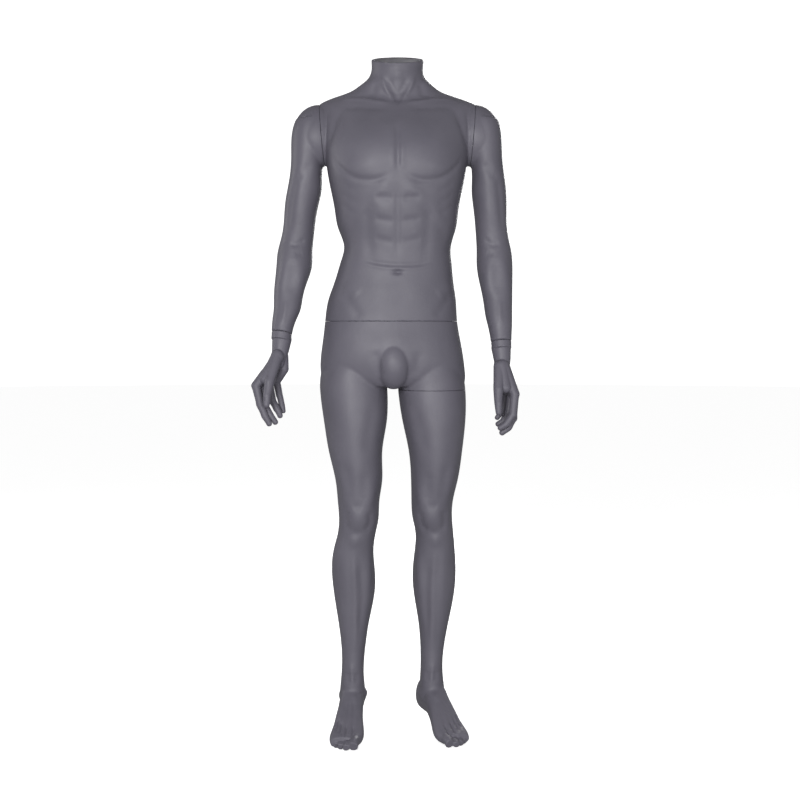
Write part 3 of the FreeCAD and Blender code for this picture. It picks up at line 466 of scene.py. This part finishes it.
def model_arms(work):
    for side, limb in ARMS.items():
        limb_pad(work, limb, -0.05, 1270, 24, 66, 4.0)
        limb_line(work, limb, [(0.42, 1340), (0.52, 1270), (0.58, 1200)], 9, -2.2)
        limb_line(work, limb, [(-0.30, 1364), (0.10, 1338), (0.46, 1322)], 11, -2.2)
        limb_pad(work, limb, 0.20, 1420, 40, 50, 2.8)
        limb_line(work, limb, [(-0.60, 1186), (-0.10, 1170), (0.30, 1176)], 6.5, -2.0)
        limb_line(work, limb, [(-0.50, 1152), (-0.10, 1146)], 7.0, -1.0)
        limb_pad(work, limb, 0.46, 1110, 16, 56, 3.4, turn=8)
        limb_pad(work, limb, -0.46, 1098, 16, 50, 2.6, turn=-8)
        limb_line(work, limb, [(0.02, 1140), (-0.02, 1100), (-0.06, 1050)], 13, -1.8)
        limb_line(work, limb, [(0.10, 1040), (0.06, 1010), (0.04, 980)], 5, 1.4)
        limb_pad(work, limb, 0.25, 1290, 22, 62, 4.0, "back", turn=6)
        limb_pad(work, limb, -0.45, 1280, 16, 56, 3.0, "back", turn=-6)
        limb_line(work, limb, [(-0.08, 1310), (-0.12, 1240), (-0.10, 1200)], 10, -3.0, "back")
        limb_pad(work, limb, 0.05, 1162, 13, 16, 4.2, "back")
        limb_line(work, limb, [(-0.30, 1182), (0.05, 1188), (0.36, 1182)], 8, -2.0, "back")
        limb_line(work, limb, [(-0.05, 1140), (-0.22, 1060), (-0.30, 990)], 7, -2.2, "back")
        limb_pad(work, limb, 0.30, 1100, 16, 54, 2.8, "back")


# ------------------------------------------------------------------ feet
FOOT_TURN = {RIGHT: 5.0, LEFT: 20.5}
# share of the foot's width from its middle to the big toe's side, share of its length, nail half width
TOE_NAILS = (
    (0.300, 0.930, 6.4),
    (0.070, 0.938, 4.4),
    (-0.115, 0.908, 4.0),
    (-0.265, 0.868, 3.7),
    (-0.375, 0.823, 3.4),
)


class Foot:
    """Directions of one foot from its given turn, and its size and middles found from its skin."""

    def __init__(self, side, co):
        turn = math.radians(FOOT_TURN[side])
        self.side = side
        self.forward = np.array((side * math.sin(turn), -math.cos(turn), 0))
        self.inward = np.array((-side * math.cos(turn), -math.sin(turn), 0))
        low = co[co[:, 2] < 60 * MM]
        along, across = low @ self.forward, low @ self.inward
        self.heel, self.length = along.min(), np.ptp(along)
        ball = low[np.abs((along - self.heel) / self.length - 0.68) < 0.06] @ self.inward
        self.centre, self.width = (ball.min() + ball.max()) / 2, np.ptp(ball)
        axis = low[np.abs((along - self.heel) / self.length - 0.15) < 0.08] @ self.inward
        self.heel_centre = (axis.min() + axis.max()) / 2

    def above(self, share, lean):
        """Start above the foot at a share of its length and of its width."""
        centre = self.heel_centre + (self.centre - self.heel_centre) * min(share / 0.68, 1.0)
        place = self.forward * (self.heel + share * self.length) + self.inward * (centre + lean * self.width)
        return (place[0], place[1], 0.3)


def model_foot(work, foot):
    down, up = (0, 0, -1), (0, 0, 1)
    forward = tuple(foot.forward)
    for lean, share, half in TOE_NAILS:
        start = foot.above(share, lean * 1.06)
        work.pad(start, down, half * 1.25 * MM, half * 1.35 * MM, -0.9 * MM, upward=forward, firm=6.0)
        work.pad(start, down, half * 1.0 * MM, half * 1.15 * MM, 1.3 * MM, upward=forward, firm=7.0)
        start = foot.above(share - 0.075, lean * 1.04)
        work.pad(start, down, half * 1.3 * MM, 4.2 * MM, 0.9 * MM, upward=forward)
        starts = [foot.above(share - 0.11, lean), foot.above(share - 0.30, lean * 0.72)]
        work.line(starts, down, 4.5 * MM, 1.3 * MM)
    for near, far in zip(TOE_NAILS, TOE_NAILS[1:]):
        lean, share = (near[0] + far[0]) / 2, (near[1] + far[1]) / 2
        starts = [foot.above(share - 0.01, lean * 1.05)]
        starts += [foot.above(share - 0.10, lean), foot.above(share - 0.17, lean)]
        work.line(starts, down, 2.6 * MM, -3.2 * MM)
    for lean in (0.17, -0.03, -0.19):
        starts = [foot.above(0.70, lean * 1.1), foot.above(0.52, lean * 0.6)]
        work.line(starts, down, 5.0 * MM, -1.2 * MM)
    inward, outward = tuple(foot.inward), tuple(-foot.inward)
    for way, back, lift in ((outward, 0.245, 92), (inward, 0.215, 82)):
        start = np.array(foot.above(back, 0.0)) - 0.25 * np.array(way)
        work.pad((start[0], start[1], lift * MM), way, 12 * MM, 13 * MM, 4.2 * MM)
        start = np.array(foot.above(back - 0.11, 0.0)) - 0.25 * np.array(way)
        work.pad((start[0], start[1], lift * MM), way, 9 * MM, 22 * MM, -3.0 * MM)
    start = np.array(foot.above(0.44, 0.0)) + 0.25 * foot.inward
    work.pad((start[0], start[1], 24 * MM), outward, 34 * MM, 12 * MM, -5.0 * MM)
    starts = [foot.above(0.30, 0.02), foot.above(0.42, 0.10), foot.above(0.56, 0.16)]
    work.line(starts, down, 6 * MM, 1.8 * MM)


def fine_foot(side):
    """The foot below the ankle in finer squares, open at the top."""
    node = "pelvis_right_leg_shell" if side == RIGHT else "left_leg_shell"
    bm = joined_copy([node])
    top = ANKLE_LEVEL + 24 * MM
    geom = list(bm.verts) + list(bm.edges) + list(bm.faces)
    bmesh.ops.bisect_plane(bm, geom=geom, plane_co=(0, 0, top), plane_no=(0, 0, 1), clear_outer=True)
    bmesh.ops.holes_fill(bm, edges=[e for e in bm.edges if e.is_boundary], sides=0)
    if side == RIGHT:
        plug(bm, *HEEL_SOCKET[:2], 9.5 * MM)
    bm = one_skin(bm, FOOT_GRAIN)
    co, links = arrays(bm)
    put(bm, relaxed(co, links, 4))
    work = Modelling(bm)
    model_foot(work, Foot(side, work.co))
    work.done(2)
    geom = list(bm.verts) + list(bm.edges) + list(bm.faces)
    cut = (0, 0, ANKLE_LEVEL)
    bmesh.ops.bisect_plane(bm, geom=geom, plane_co=cut, plane_no=(0, 0, 1), clear_outer=True)
    for vert in bm.verts:
        vert.co.z = max(vert.co.z, 0.0)
    return bm


def plug(bm, centre, axis, radius, length=80 * MM):
    """Fills a socket's hole before the skin is made."""
    turn = Vector((0, 0, 1)).rotation_difference(axis).to_matrix().to_4x4()
    place = Matrix.Translation(centre) @ turn
    bmesh.ops.create_cone(
        bm, cap_ends=True, segments=48, radius1=radius, radius2=radius, depth=length, matrix=place
    )


def splice_feet(bm):
    """Takes the coarse feet off the skin and joins the finer ones on."""
    geom = list(bm.verts) + list(bm.edges) + list(bm.faces)
    cut = (0, 0, ANKLE_LEVEL + SPLICE)
    bmesh.ops.bisect_plane(bm, geom=geom, plane_co=cut, plane_no=(0, 0, -1), clear_outer=True)
    for side in (RIGHT, LEFT):
        foot = fine_foot(side)
        mesh = bpy.data.meshes.new("foot")
        foot.to_mesh(mesh)
        foot.free()
        bm.from_mesh(mesh)
        bpy.data.meshes.remove(mesh)
    split = (LEGS[RIGHT].across(-1, ANKLE_LEVEL) + LEGS[LEFT].across(-1, ANKLE_LEVEL)) / 2
    for side in (RIGHT, LEFT):
        rim = [
            e
            for e in bm.edges
            if e.is_boundary and e.verts[0].co.z < ANKLE_LEVEL + 2 * SPLICE and (e.verts[0].co.x - split) * side > 0
        ]
        bmesh.ops.bridge_loops(bm, edges=rim)
    bmesh.ops.triangulate(bm, faces=[f for f in bm.faces if len(f.verts) > 4])
    co, links = arrays(bm)
    weight = np.exp(-(((co[:, 2] - ANKLE_LEVEL - SPLICE / 2) / (12 * MM)) ** 2))
    put(bm, relaxed(co, links, 50, weight))
    bmesh.ops.recalc_face_normals(bm, faces=bm.faces)


# ------------------------------------------------------------------ parting the skin at its seams
def around(bm, faces):
    """Faces with their edges and points."""
    return faces + list({e for f in faces for e in f.edges}) + list({v for f in faces for v in f.verts})


def near_seam(face, centre, axis, wide):
    away = face.calc_center_median() - centre
    along = away.dot(axis)
    return abs(along) < 12 * MM and (away - axis * along).length < wide


def part_skin(bm, seam):
    """Opens the thin line between two shells round one seam."""
    centre, axis = SEAMS[seam]
    wide = SEAM_REACH[seam]
    for lift in (-SEAM_GAP, SEAM_GAP):
        faces = [f for f in bm.faces if near_seam(f, centre, axis, wide)]
        bmesh.ops.bisect_plane(
            bm, geom=around(bm, faces), dist=1e-7, plane_co=centre + axis * lift, plane_no=axis
        )
    strip = [
        f
        for f in bm.faces
        if near_seam(f, centre, axis, wide)
        and abs((f.calc_center_median() - centre).dot(axis)) < SEAM_GAP
    ]
    bmesh.ops.delete(bm, geom=strip, context="FACES")


def open_rims(bm):
    """The open loops of a shell, each as a list of edges."""
    left = {e for e in bm.edges if e.is_boundary}
    rims = []
    while left:
        rim = [left.pop()]
        for edge in rim:
            for vert in edge.verts:
                for other in vert.link_edges:
                    if other in left:
                        left.remove(other)
                        rim.append(other)
        rims.append(rim)
    return rims


def rim_plane(edges):
    """The seam that a rim lies at, as a point and a direction."""
    middle = sum((v.co for e in edges for v in e.verts), Vector()) / (2 * len(edges))
    planes = list(SEAMS.values()) + [(NECK_TOP, NECK_AXIS)]
    return min(planes, key=lambda plane: (plane[0] - middle).length)


def turn_in_rim(bm, edges):
    """Rounds a shell's edge at a seam, turns it in by the wall and carries it down to a floor."""
    centre, axis = rim_plane(edges)
    depth = NECK_DEPTH if axis is NECK_AXIS else BOARD_DEPTH
    body = sum((f.calc_center_median() for e in edges for f in e.link_faces), Vector()) / len(edges)
    down = axis if (body - centre).dot(axis) > 0 else -axis
    verts = list({v for e in edges for v in e.verts})
    inward = {}
    for vert in verts:
        flat = vert.normal - axis * vert.normal.dot(axis)
        inward[vert] = -flat.normalized()
    for vert in verts:
        vert.co += down * 0.5 * MM
    ring = edges
    for inset, drop in ((0.7 * MM, -0.5 * MM), (WALL - 0.7 * MM, 0.0), (0.0, depth)):
        geom = bmesh.ops.extrude_edge_only(bm, edges=ring)["geom"]
        fresh = [g for g in geom if isinstance(g, bmesh.types.BMVert)]
        carried = {}
        for vert in fresh:
            source = next(e.other_vert(vert) for e in vert.link_edges if e.other_vert(vert) in inward)
            carried[vert] = inward[source]
        for vert in fresh:
            vert.co += carried[vert] * inset + down * drop
        inward = carried
        ring = [e for e in bm.edges if e.is_boundary and e.verts[0] in carried and e.verts[1] in carried]
    bmesh.ops.triangle_fill(bm, edges=ring, use_beauty=True)


# ------------------------------------------------------------------ pieces
def piece_from(bm, name, body, nodes, paint):
    bmesh.ops.remove_doubles(bm, verts=bm.verts, dist=1e-7)
    bmesh.ops.recalc_face_normals(bm, faces=bm.faces)
    for face in bm.faces:
        face.smooth = True
    for edge in bm.edges:
        if len(edge.link_faces) == 2 and edge.calc_face_angle(0.0) > math.radians(48):
            edge.smooth = False
    mesh = bpy.data.meshes.new(name)
    bm.to_mesh(mesh)
    bm.free()
    piece = linked(name, mesh)
    mesh.materials.append(paint)
    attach(piece, body)
    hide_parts(*nodes)
    return piece


def body_skin():
    """Trunk, arms and legs as one skin, with finer feet."""
    shells = ["torso_shell", "pelvis_right_leg_shell", "left_leg_shell", "right_arm_shell", "left_arm_shell"]
    boards = [n for n in frame["nodes"] if n.endswith("_bulkhead")]
    bm = joined_copy(shells + boards)
    plug(bm, NECK_TOP - NECK_AXIS * 22 * MM, NECK_AXIS, 59 * MM, 40 * MM)
    for centre, axis, _ in (HEEL_SOCKET, CALF_SOCKET):
        plug(bm, centre, axis, 9.5 * MM, 56 * MM)
    bm = one_skin(bm, BODY_GRAIN)
    co, links = arrays(bm)
    co = relaxed(co, links, 22)
    hips = np.exp(-(((co[:, 2] - 880 * MM) / (75 * MM)) ** 2))
    put(bm, relaxed(co, links, 90, hips))
    work = Modelling(bm)
    model_chest(work)
    model_belly(work)
    model_back(work)
    model_legs(work)
    model_arms(work)
    work.done(1)
    splice_feet(bm)
    return bm


def make_body(paint):
    bm = body_skin()
    for seam in SEAM_REACH:
        part_skin(bm, seam)
    open_neck(bm)
    homes = {name: (sum(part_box(name), Vector()) / 2, body) for name, body in SHELL_BODIES.items()}
    groups = sorted(islands(bm), key=len, reverse=True)[: len(homes)]
    whole = bpy.data.meshes.new("whole")
    bm.to_mesh(whole)
    for name, (home, body) in homes.items():
        low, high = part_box(name)
        best = min(groups, key=lambda g: box_gap(g, low, high))
        bm.verts.index_update()
        keep = {v.index for v in best}
        part = bmesh.new()
        part.from_mesh(whole)
        part.verts.ensure_lookup_table()
        bmesh.ops.delete(part, geom=[v for v in part.verts if v.index not in keep], context="VERTS")
        part.normal_update()
        for rim in open_rims(part):
            turn_in_rim(part, rim)
        piece_from(part, name.replace("_shell", "_skin"), body, [name], paint)
    bpy.data.meshes.remove(whole)
    bm.free()


def box_gap(group, low, high):
    co = np.array([v.co for v in group])
    return float(np.abs(co.min(0) - np.array(low)).sum() + np.abs(co.max(0) - np.array(high)).sum())


def open_neck(bm):
    """Takes the flat top off the neck."""
    faces = [f for f in bm.faces if (f.calc_center_median() - NECK_TOP).length < 120 * MM]
    geom = faces + list({e for f in faces for e in f.edges}) + list({v for f in faces for v in f.verts})
    level = NECK_TOP - NECK_AXIS * 1.2 * MM
    bmesh.ops.bisect_plane(bm, geom=geom, plane_co=level, plane_no=NECK_AXIS)
    above = [f for f in bm.faces if (f.calc_center_median() - level).dot(NECK_AXIS) > 0]
    above = [f for f in above if (f.calc_center_median() - NECK_TOP).length < 120 * MM]
    bmesh.ops.delete(bm, geom=above, context="FACES")


SEAM_REACH = {
    "waist_twist": 190 * MM,
    "left_leg_twist": 120 * MM,
    "right_shoulder_twist": 95 * MM,
    "left_shoulder_twist": 95 * MM,
    "right_wrist_twist": 60 * MM,
    "left_wrist_twist": 60 * MM,
}
SHELL_BODIES = {
    "torso_shell": "torso",
    "pelvis_right_leg_shell": "lower_body",
    "left_leg_shell": "left_leg",
    "right_arm_shell": "right_arm",
    "left_arm_shell": "left_arm",
}


def drill_sockets(piece):
    """Round holes for the display rod's sockets."""
    for index, (centre, axis, _) in enumerate((HEEL_SOCKET, CALF_SOCKET)):
        bm = bmesh.new()
        plug(bm, centre, axis, SOCKET_HOLE, 90 * MM)
        mesh = bpy.data.meshes.new("drill")
        bm.to_mesh(mesh)
        bm.free()
        drill = linked(f"drill_{index}", mesh)
        cut = piece.modifiers.new("Socket", "BOOLEAN")
        cut.operation, cut.solver, cut.object = "DIFFERENCE", "EXACT", drill
        bpy.context.view_layer.update()
        made = bpy.data.meshes.new_from_object(
            piece.evaluated_get(bpy.context.evaluated_depsgraph_get())
        )
        piece.modifiers.remove(cut)
        piece.data = made
        bpy.data.objects.remove(drill)


# ------------------------------------------------------------------ hands
# Joints of each digit from its root to the middle of its tip, as (out from the body, towards the
# back, up) millimetres from the middle of the wrist seam; out is to the figure's own side.
DIGITS = {
    RIGHT: {
        "index": ((8, -26, -58), (57, -46, -122), (46, -50, -168), (34, -50, -196), (26, -49, -211)),
        "middle": ((8, -12, -56), (50, -27, -118), (38, -34, -170), (23, -36, -195), (13, -36, -208)),
        "ring": ((6, 1, -56), (32, -6, -113), (21, -15, -160), (8, -19, -182), (3, -20, -194)),
        "little": ((3, 10, -56), (15, 9, -110), (6, 1, -147), (0, -3, -170), (-3, -4, -184)),
        "thumb": ((9, -26, -52), (24, -56, -110), (29, -68, -144), (30, -72, -165)),
    },
    LEFT: {
        "index": ((4, -26, -56), (29, -46, -122), (24, -50, -170), (8, -50, -193), (-5, -48, -201)),
        "middle": ((4, -12, -54), (30, -27, -124), (26, -34, -180), (13, -36, -203), (0, -36, -213)),
        "ring": ((2, 1, -54), (24, -8, -119), (15, -16, -170), (2, -18, -189), (-8, -18, -194)),
        "little": ((0, 10, -54), (14, 10, -112), (6, 2, -155), (-3, 0, -172), (-9, 0, -180)),
        "thumb": ((-5, -26, -58), (-10, -54, -110), (-11, -64, -141), (-10, -68, -163)),
    },
}
DIGIT_RADII = {
    "index": (13.5, 10.4, 9.0, 8.0, 6.6),
    "middle": (14.0, 10.6, 9.2, 8.2, 6.8),
    "ring": (13.5, 10.2, 8.8, 7.8, 6.5),
    "little": (13.0, 9.6, 7.8, 7.0, 5.9),
    "thumb": (15.0, 12.0, 9.4, 7.6),
}
HEEL_OF_HAND = {
    RIGHT: ((-1, -6, -54), (-4, -4, -84), (12, 4, -110)),
    LEFT: ((-3, -6, -54), (-3, -4, -88), (8, 4, -110)),
}
HEEL_RADII = (15, 12.5, 11)
WRIST_PATH = {
    RIGHT: ((0, 0, -14), (3, -4, -38), (8, -11, -68)),
    LEFT: ((0, 0, -14), (2, -4, -38), (3, -11, -68)),
}
WRIST_TAPER = (1.0, 0.88, 0.70)
STUB = 17 * MM


def padded_bones(bm, points, radii):
    """Balls at the joints with tapered rods between them."""
    for place, radius in zip(points, radii):
        at = Matrix.Translation(place)
        bmesh.ops.create_uvsphere(bm, u_segments=24, v_segments=14, radius=radius, matrix=at)
    for a, b, wide, thin in zip(points, points[1:], radii, radii[1:]):
        turn = Vector((0, 0, 1)).rotation_difference(b - a).to_matrix().to_4x4()
        at = Matrix.Translation((a + b) / 2) @ turn
        bmesh.ops.create_cone(
            bm, cap_ends=True, segments=24, radius1=wide, radius2=thin, depth=(b - a).length, matrix=at
        )


def hand_solid(side):
    """Wrist stub, palm and digits, one over another, before the skin is drawn round them."""
    centre, axis = SEAMS[SIDE_NAMES[side] + "_wrist_twist"]
    node = SIDE_NAMES[side] + "_hand"
    bm = joined_copy([node])
    geom = list(bm.verts) + list(bm.edges) + list(bm.faces)
    down = -axis if axis.z > 0 else axis
    bmesh.ops.bisect_plane(bm, geom=geom, plane_co=centre + down * STUB, plane_no=down, clear_outer=True)
    bmesh.ops.holes_fill(bm, edges=[e for e in bm.edges if e.is_boundary], sides=0)

    rim = [v.co - centre - down * STUB for v in bm.verts if (v.co - centre).dot(down) > STUB - 0.1 * MM]
    broad, deep = max(abs(p.x) for p in rim), max(abs(p.y) for p in rim)

    def at(point):
        out, back, up = point
        return centre + Vector((side * out, back, up)) * MM

    digits = {}
    for name, chain in DIGITS[side].items():
        digits[name] = [at(p) for p in chain]
        padded_bones(bm, digits[name], [r * MM for r in DIGIT_RADII[name]])
    padded_bones(bm, [at(p) for p in HEEL_OF_HAND[side]], [r * MM for r in HEEL_RADII])
    for shift in (broad - deep, deep - broad):
        path = [at(p) + Vector((0, shift, 0)) for p in WRIST_PATH[side]]
        padded_bones(bm, path, [broad * share for share in WRIST_TAPER])
    names = ("index", "middle", "ring", "little")
    for near, far in zip(names, names[1:]):
        between = [(a + b) / 2 for a, b in zip(digits[near][:2], digits[far][:2])]
        padded_bones(bm, between, (15 * MM, 11.5 * MM))
    root, fork = [(a + b) / 2 for a, b in zip(digits["index"][:2], digits["thumb"][:2])]
    padded_bones(bm, [root, root.lerp(fork, 0.85)], (16 * MM, 13 * MM))
    return bm, digits, centre, down


def model_hand(work, digits, side):
    """Knuckles, tendons, nails and creases."""
    back_of_hand = Vector((side, 0, 0))
    for name, joints in digits.items():
        thumb = name == "thumb"
        outward = Vector((side * 0.45, -1, 0)).normalized() if thumb else back_of_hand
        for joint in joints[1:-1]:
            work.pad(joint + outward * 60 * MM, -outward, 6.5 * MM, 6.5 * MM, 1.0 * MM)
        heading = (joints[-1] - joints[-2]).normalized()
        facing = (outward - heading * outward.dot(heading)).normalized()
        bed = joints[-1] + facing * 60 * MM + heading * 1.5 * MM
        half = 5.2 * MM if thumb else 4.1 * MM
        work.pad(bed, -facing, half * 1.25, half * 1.45, -0.55 * MM, upward=tuple(heading), firm=6.0)
        work.pad(bed, -facing, half, half * 1.2, 0.75 * MM, upward=tuple(heading), firm=7.0)
        for joint in joints[2:-1]:
            for offset in (-1.6, 1.6):
                spot = joint + heading * offset * MM + facing * 60 * MM
                across = facing.cross(heading) * 5 * MM
                work.line([spot - across, spot + across], -facing, 1.0 * MM, -0.45 * MM)
        if not thumb:
            tendon = [joints[1], joints[0].lerp(joints[1], 0.35)]
            starts = [place + back_of_hand * 60 * MM for place in tendon]
            work.line(starts, -back_of_hand, 3.6 * MM, 1.1 * MM)


def make_hand(side, paint):
    bm, digits, centre, down = hand_solid(side)
    bm = one_skin(bm, HAND_GRAIN)
    co, links = arrays(bm)
    along = (co - np.array(centre)) @ np.array(down)
    wrist = np.exp(-(((along - 44 * MM) / (38 * MM)) ** 2)) * np.clip((along - 7 * MM) / (8 * MM), 0, 1)
    co = relaxed(co, links, 150, wrist)
    put(bm, relaxed(co, links, 9))
    work = Modelling(bm)
    model_hand(work, digits, side)
    work.done(1)
    geom = list(bm.verts) + list(bm.edges) + list(bm.faces)
    bmesh.ops.bisect_plane(bm, geom=geom, plane_co=centre + down * 0.9 * MM, plane_no=-down, clear_outer=True)
    bmesh.ops.holes_fill(bm, edges=[e for e in bm.edges if e.is_boundary], sides=0)
    bmesh.ops.triangulate(bm, faces=[f for f in bm.faces if len(f.verts) > 4])
    name = SIDE_NAMES[side] + "_hand"
    piece_from(bm, name + "_skin", name, [name], paint)


# ------------------------------------------------------------------ finishes
def finish_named(name):
    material = bpy.data.materials.new(name)
    material.use_nodes = True
    nodes, links = material.node_tree.nodes, material.node_tree.links
    shader = nodes["Principled BSDF"]
    place = nodes.new("ShaderNodeTexCoord")
    return material, nodes, links, shader, place.outputs["Object"]


def noise_node(nodes, links, place, scale, detail=3.0, rough=0.5):
    node = nodes.new("ShaderNodeTexNoise")
    node.inputs["Scale"].default_value = scale
    node.inputs["Detail"].default_value = detail
    node.inputs["Roughness"].default_value = rough
    links.new(place, node.inputs["Vector"])
    return node.outputs["Fac"]


def ramp_node(nodes, links, source, stops):
    node = nodes.new("ShaderNodeValToRGB")
    ramp = node.color_ramp
    for i, (where, colour) in enumerate(stops):
        stop = ramp.elements[i] if i < 2 else ramp.elements.new(where)
        stop.position, stop.color = where, (*colour, 1)
    links.new(source, node.inputs["Fac"])
    return node.outputs["Color"]


def bump_node(nodes, links, height, strength, distance, normal=None):
    node = nodes.new("ShaderNodeBump")
    node.inputs["Strength"].default_value = strength
    node.inputs["Distance"].default_value = distance
    links.new(height, node.inputs["Height"])
    if normal is not None:
        links.new(normal, node.inputs["Normal"])
    return node.outputs["Normal"]


def matt_body_paint():
    """Sprayed matt grey: a fine eggshell texture and slightly uneven cover."""
    material, nodes, links, shader, place = finish_named("matt_body_paint")
    cover = noise_node(nodes, links, place, 7.0, 4.0, 0.6)
    low, high = (0.098, 0.093, 0.116), (0.116, 0.110, 0.135)
    links.new(ramp_node(nodes, links, cover, ((0.30, low), (0.70, high))), shader.inputs["Base Color"])
    dull = noise_node(nodes, links, place, 24.0, 3.0)
    grey = ((0.25, (0.47,) * 3), (0.75, (0.56,) * 3))
    links.new(ramp_node(nodes, links, dull, grey), shader.inputs["Roughness"])
    shader.inputs["Specular IOR Level"].default_value = 0.38
    grain = noise_node(nodes, links, place, 900.0, 2.0)
    peel = noise_node(nodes, links, place, 260.0, 2.0)
    first = bump_node(nodes, links, grain, 0.10, 0.0004)
    links.new(bump_node(nodes, links, peel, 0.10, 0.0008, first), shader.inputs["Normal"])
    return material


def zinc_plate(name="zinc_steel"):
    """Rolled steel with a zinc finish."""
    material, nodes, links, shader, place = finish_named(name)
    cloud = noise_node(nodes, links, place, 60.0, 4.0, 0.6)
    tones = ((0.3, (0.42, 0.43, 0.45)), (0.7, (0.58, 0.59, 0.60)))
    links.new(ramp_node(nodes, links, cloud, tones), shader.inputs["Base Color"])
    shader.inputs["Metallic"].default_value = 1.0
    dull = ((0.3, (0.26,) * 3), (0.7, (0.42,) * 3))
    links.new(ramp_node(nodes, links, cloud, dull), shader.inputs["Roughness"])
    scratches = noise_node(nodes, links, place, 420.0, 2.0)
    links.new(bump_node(nodes, links, scratches, 0.08, 0.0003), shader.inputs["Normal"])
    return material


def seam_shade_hardboard():
    """Dark oiled hardboard with a faint long grain; its dark tone is partly painted shade, so the seam gaps in
    front of it read as dark shaded lines.
    """
    material, nodes, links, shader, place = finish_named("dark_hardboard_seam_shade")
    mapping = nodes.new("ShaderNodeMapping")
    mapping.inputs["Scale"].default_value = (3.0, 40.0, 40.0)
    links.new(place, mapping.inputs["Vector"])
    grain = noise_node(nodes, links, mapping.outputs["Vector"], 6.0, 6.0, 0.65)
    # dark brown tones: partly the board's own stain, partly painted shade for the seam gaps
    tones = ((0.30, (0.055, 0.040, 0.028)), (0.70, (0.105, 0.078, 0.055)))
    links.new(ramp_node(nodes, links, grain, tones), shader.inputs["Base Color"])
    shader.inputs["Roughness"].default_value = 0.62
    links.new(bump_node(nodes, links, grain, 0.15, 0.0004), shader.inputs["Normal"])
    return material


def dress_frame(paint):
    steel, board = zinc_plate(), seam_shade_hardboard()
    for name, node in frame["nodes"].items():
        if name.endswith("_bulkhead"):
            # the bulkhead boards take the darkened board finish, which paints shade into the seams
            finish = board
        elif name in ("neck_cap",) or name.endswith("_shell") or name.endswith("_hand"):
            finish = paint
        else:
            finish = steel
        node.data.materials.clear()
        node.data.materials.append(finish)


# ------------------------------------------------------------------ studio
def studio_floor():
    """Plain pale floor, and a white backdrop all round that only shows behind the figure."""
    for name, tone, glow in (("studio_floor", 0.92, 0.70), ("studio_backdrop", 0.95, 1.0)):
        bm = bmesh.new()
        if name == "studio_floor":
            bmesh.ops.create_circle(bm, cap_ends=True, segments=96, radius=22.0)
        else:
            bmesh.ops.create_uvsphere(bm, u_segments=64, v_segments=32, radius=21.0)
        mesh = bpy.data.meshes.new(name)
        bm.to_mesh(mesh)
        bm.free()
        stage = linked(name, mesh)
        material, nodes, links, shader, place = finish_named(name + "_white")
        cloud = noise_node(nodes, links, place, 3.0)
        tones = ((0.3, (tone - 0.01,) * 3), (0.7, (tone,) * 3))
        links.new(ramp_node(nodes, links, cloud, tones), shader.inputs["Base Color"])
        shader.inputs["Roughness"].default_value = 0.9
        shader.inputs["Specular IOR Level"].default_value = 0.1
        shader.inputs["Emission Color"].default_value = (1, 1, 1, 1)
        shader.inputs["Emission Strength"].default_value = glow
        mesh.materials.append(material)
        stage.visible_diffuse = stage.visible_glossy = False
        stage.visible_shadow = False


def lamp(name, place, aim, size, power):
    data = bpy.data.lights.new(name, "AREA")
    data.shape, data.size, data.energy = "SQUARE", size, power
    light = bpy.data.objects.new(name, data)
    scene.collection.objects.link(light)
    light.location = place
    light.rotation_euler = (Vector(aim) - Vector(place)).to_track_quat("-Z", "Y").to_euler()


def studio():
    studio_floor()
    world = bpy.data.worlds.new("studio_white")
    scene.world = world
    world.use_nodes = True
    world.node_tree.nodes["Background"].inputs["Color"].default_value = (1.0, 1.0, 1.0, 1)
    world.node_tree.nodes["Background"].inputs["Strength"].default_value = 0.30
    chest = (MIDDLE, 0, 1.1 * TALL)
    lamp("key_softbox", (MIDDLE - 0.9, -3.3, 1.5), chest, 1.0, 74)
    lamp("fill_softbox", (MIDDLE + 1.5, -3.3, 0.9), chest, 1.4, 34)
    lamp("low_softbox", (MIDDLE, -3.4, 0.5), (MIDDLE, 0, 0.6), 1.2, 22)
    lamp("rear_softbox", (MIDDLE + 0.8, 3.4, 2.2), chest, 1.6, 70)
    lamp("side_softbox", (MIDDLE - 3.4, 0.9, 1.8), chest, 1.4, 22)
    scene.view_settings.view_transform = "Standard"


def camera():
    data = bpy.data.cameras.new("camera")
    data.sensor_width = 36.0
    data.lens = CAMERA_LENS
    data.shift_x, data.shift_y = CAMERA_SHIFT
    data.dof.use_dof = False
    holder = bpy.data.objects.new("camera", data)
    scene.collection.objects.link(holder)
    holder.location = (MIDDLE + CAMERA_ASIDE, cad_middle().y - CAMERA_AWAY, CAMERA_HEIGHT)
    holder.rotation_euler = (math.radians(90 - CAMERA_DOWN), 0, 0)
    scene.camera = holder


def cad_middle():
    return (cad_box[0] + cad_box[1]) / 2


SOCKET_HOLE = 8.8 * MM
CAMERA_LENS = 61.6
CAMERA_SHIFT = (0.0, -0.04)
CAMERA_ASIDE = 0.0052
CAMERA_AWAY = 3.261
CAMERA_HEIGHT = 0.971
CAMERA_DOWN = 1.64

paint = matt_body_paint()
dress_frame(paint)
make_body(paint)
for hand_side in (RIGHT, LEFT):
    make_hand(hand_side, paint)
drill_sockets(bpy.data.objects["pelvis_right_leg_skin"])
studio()
camera()
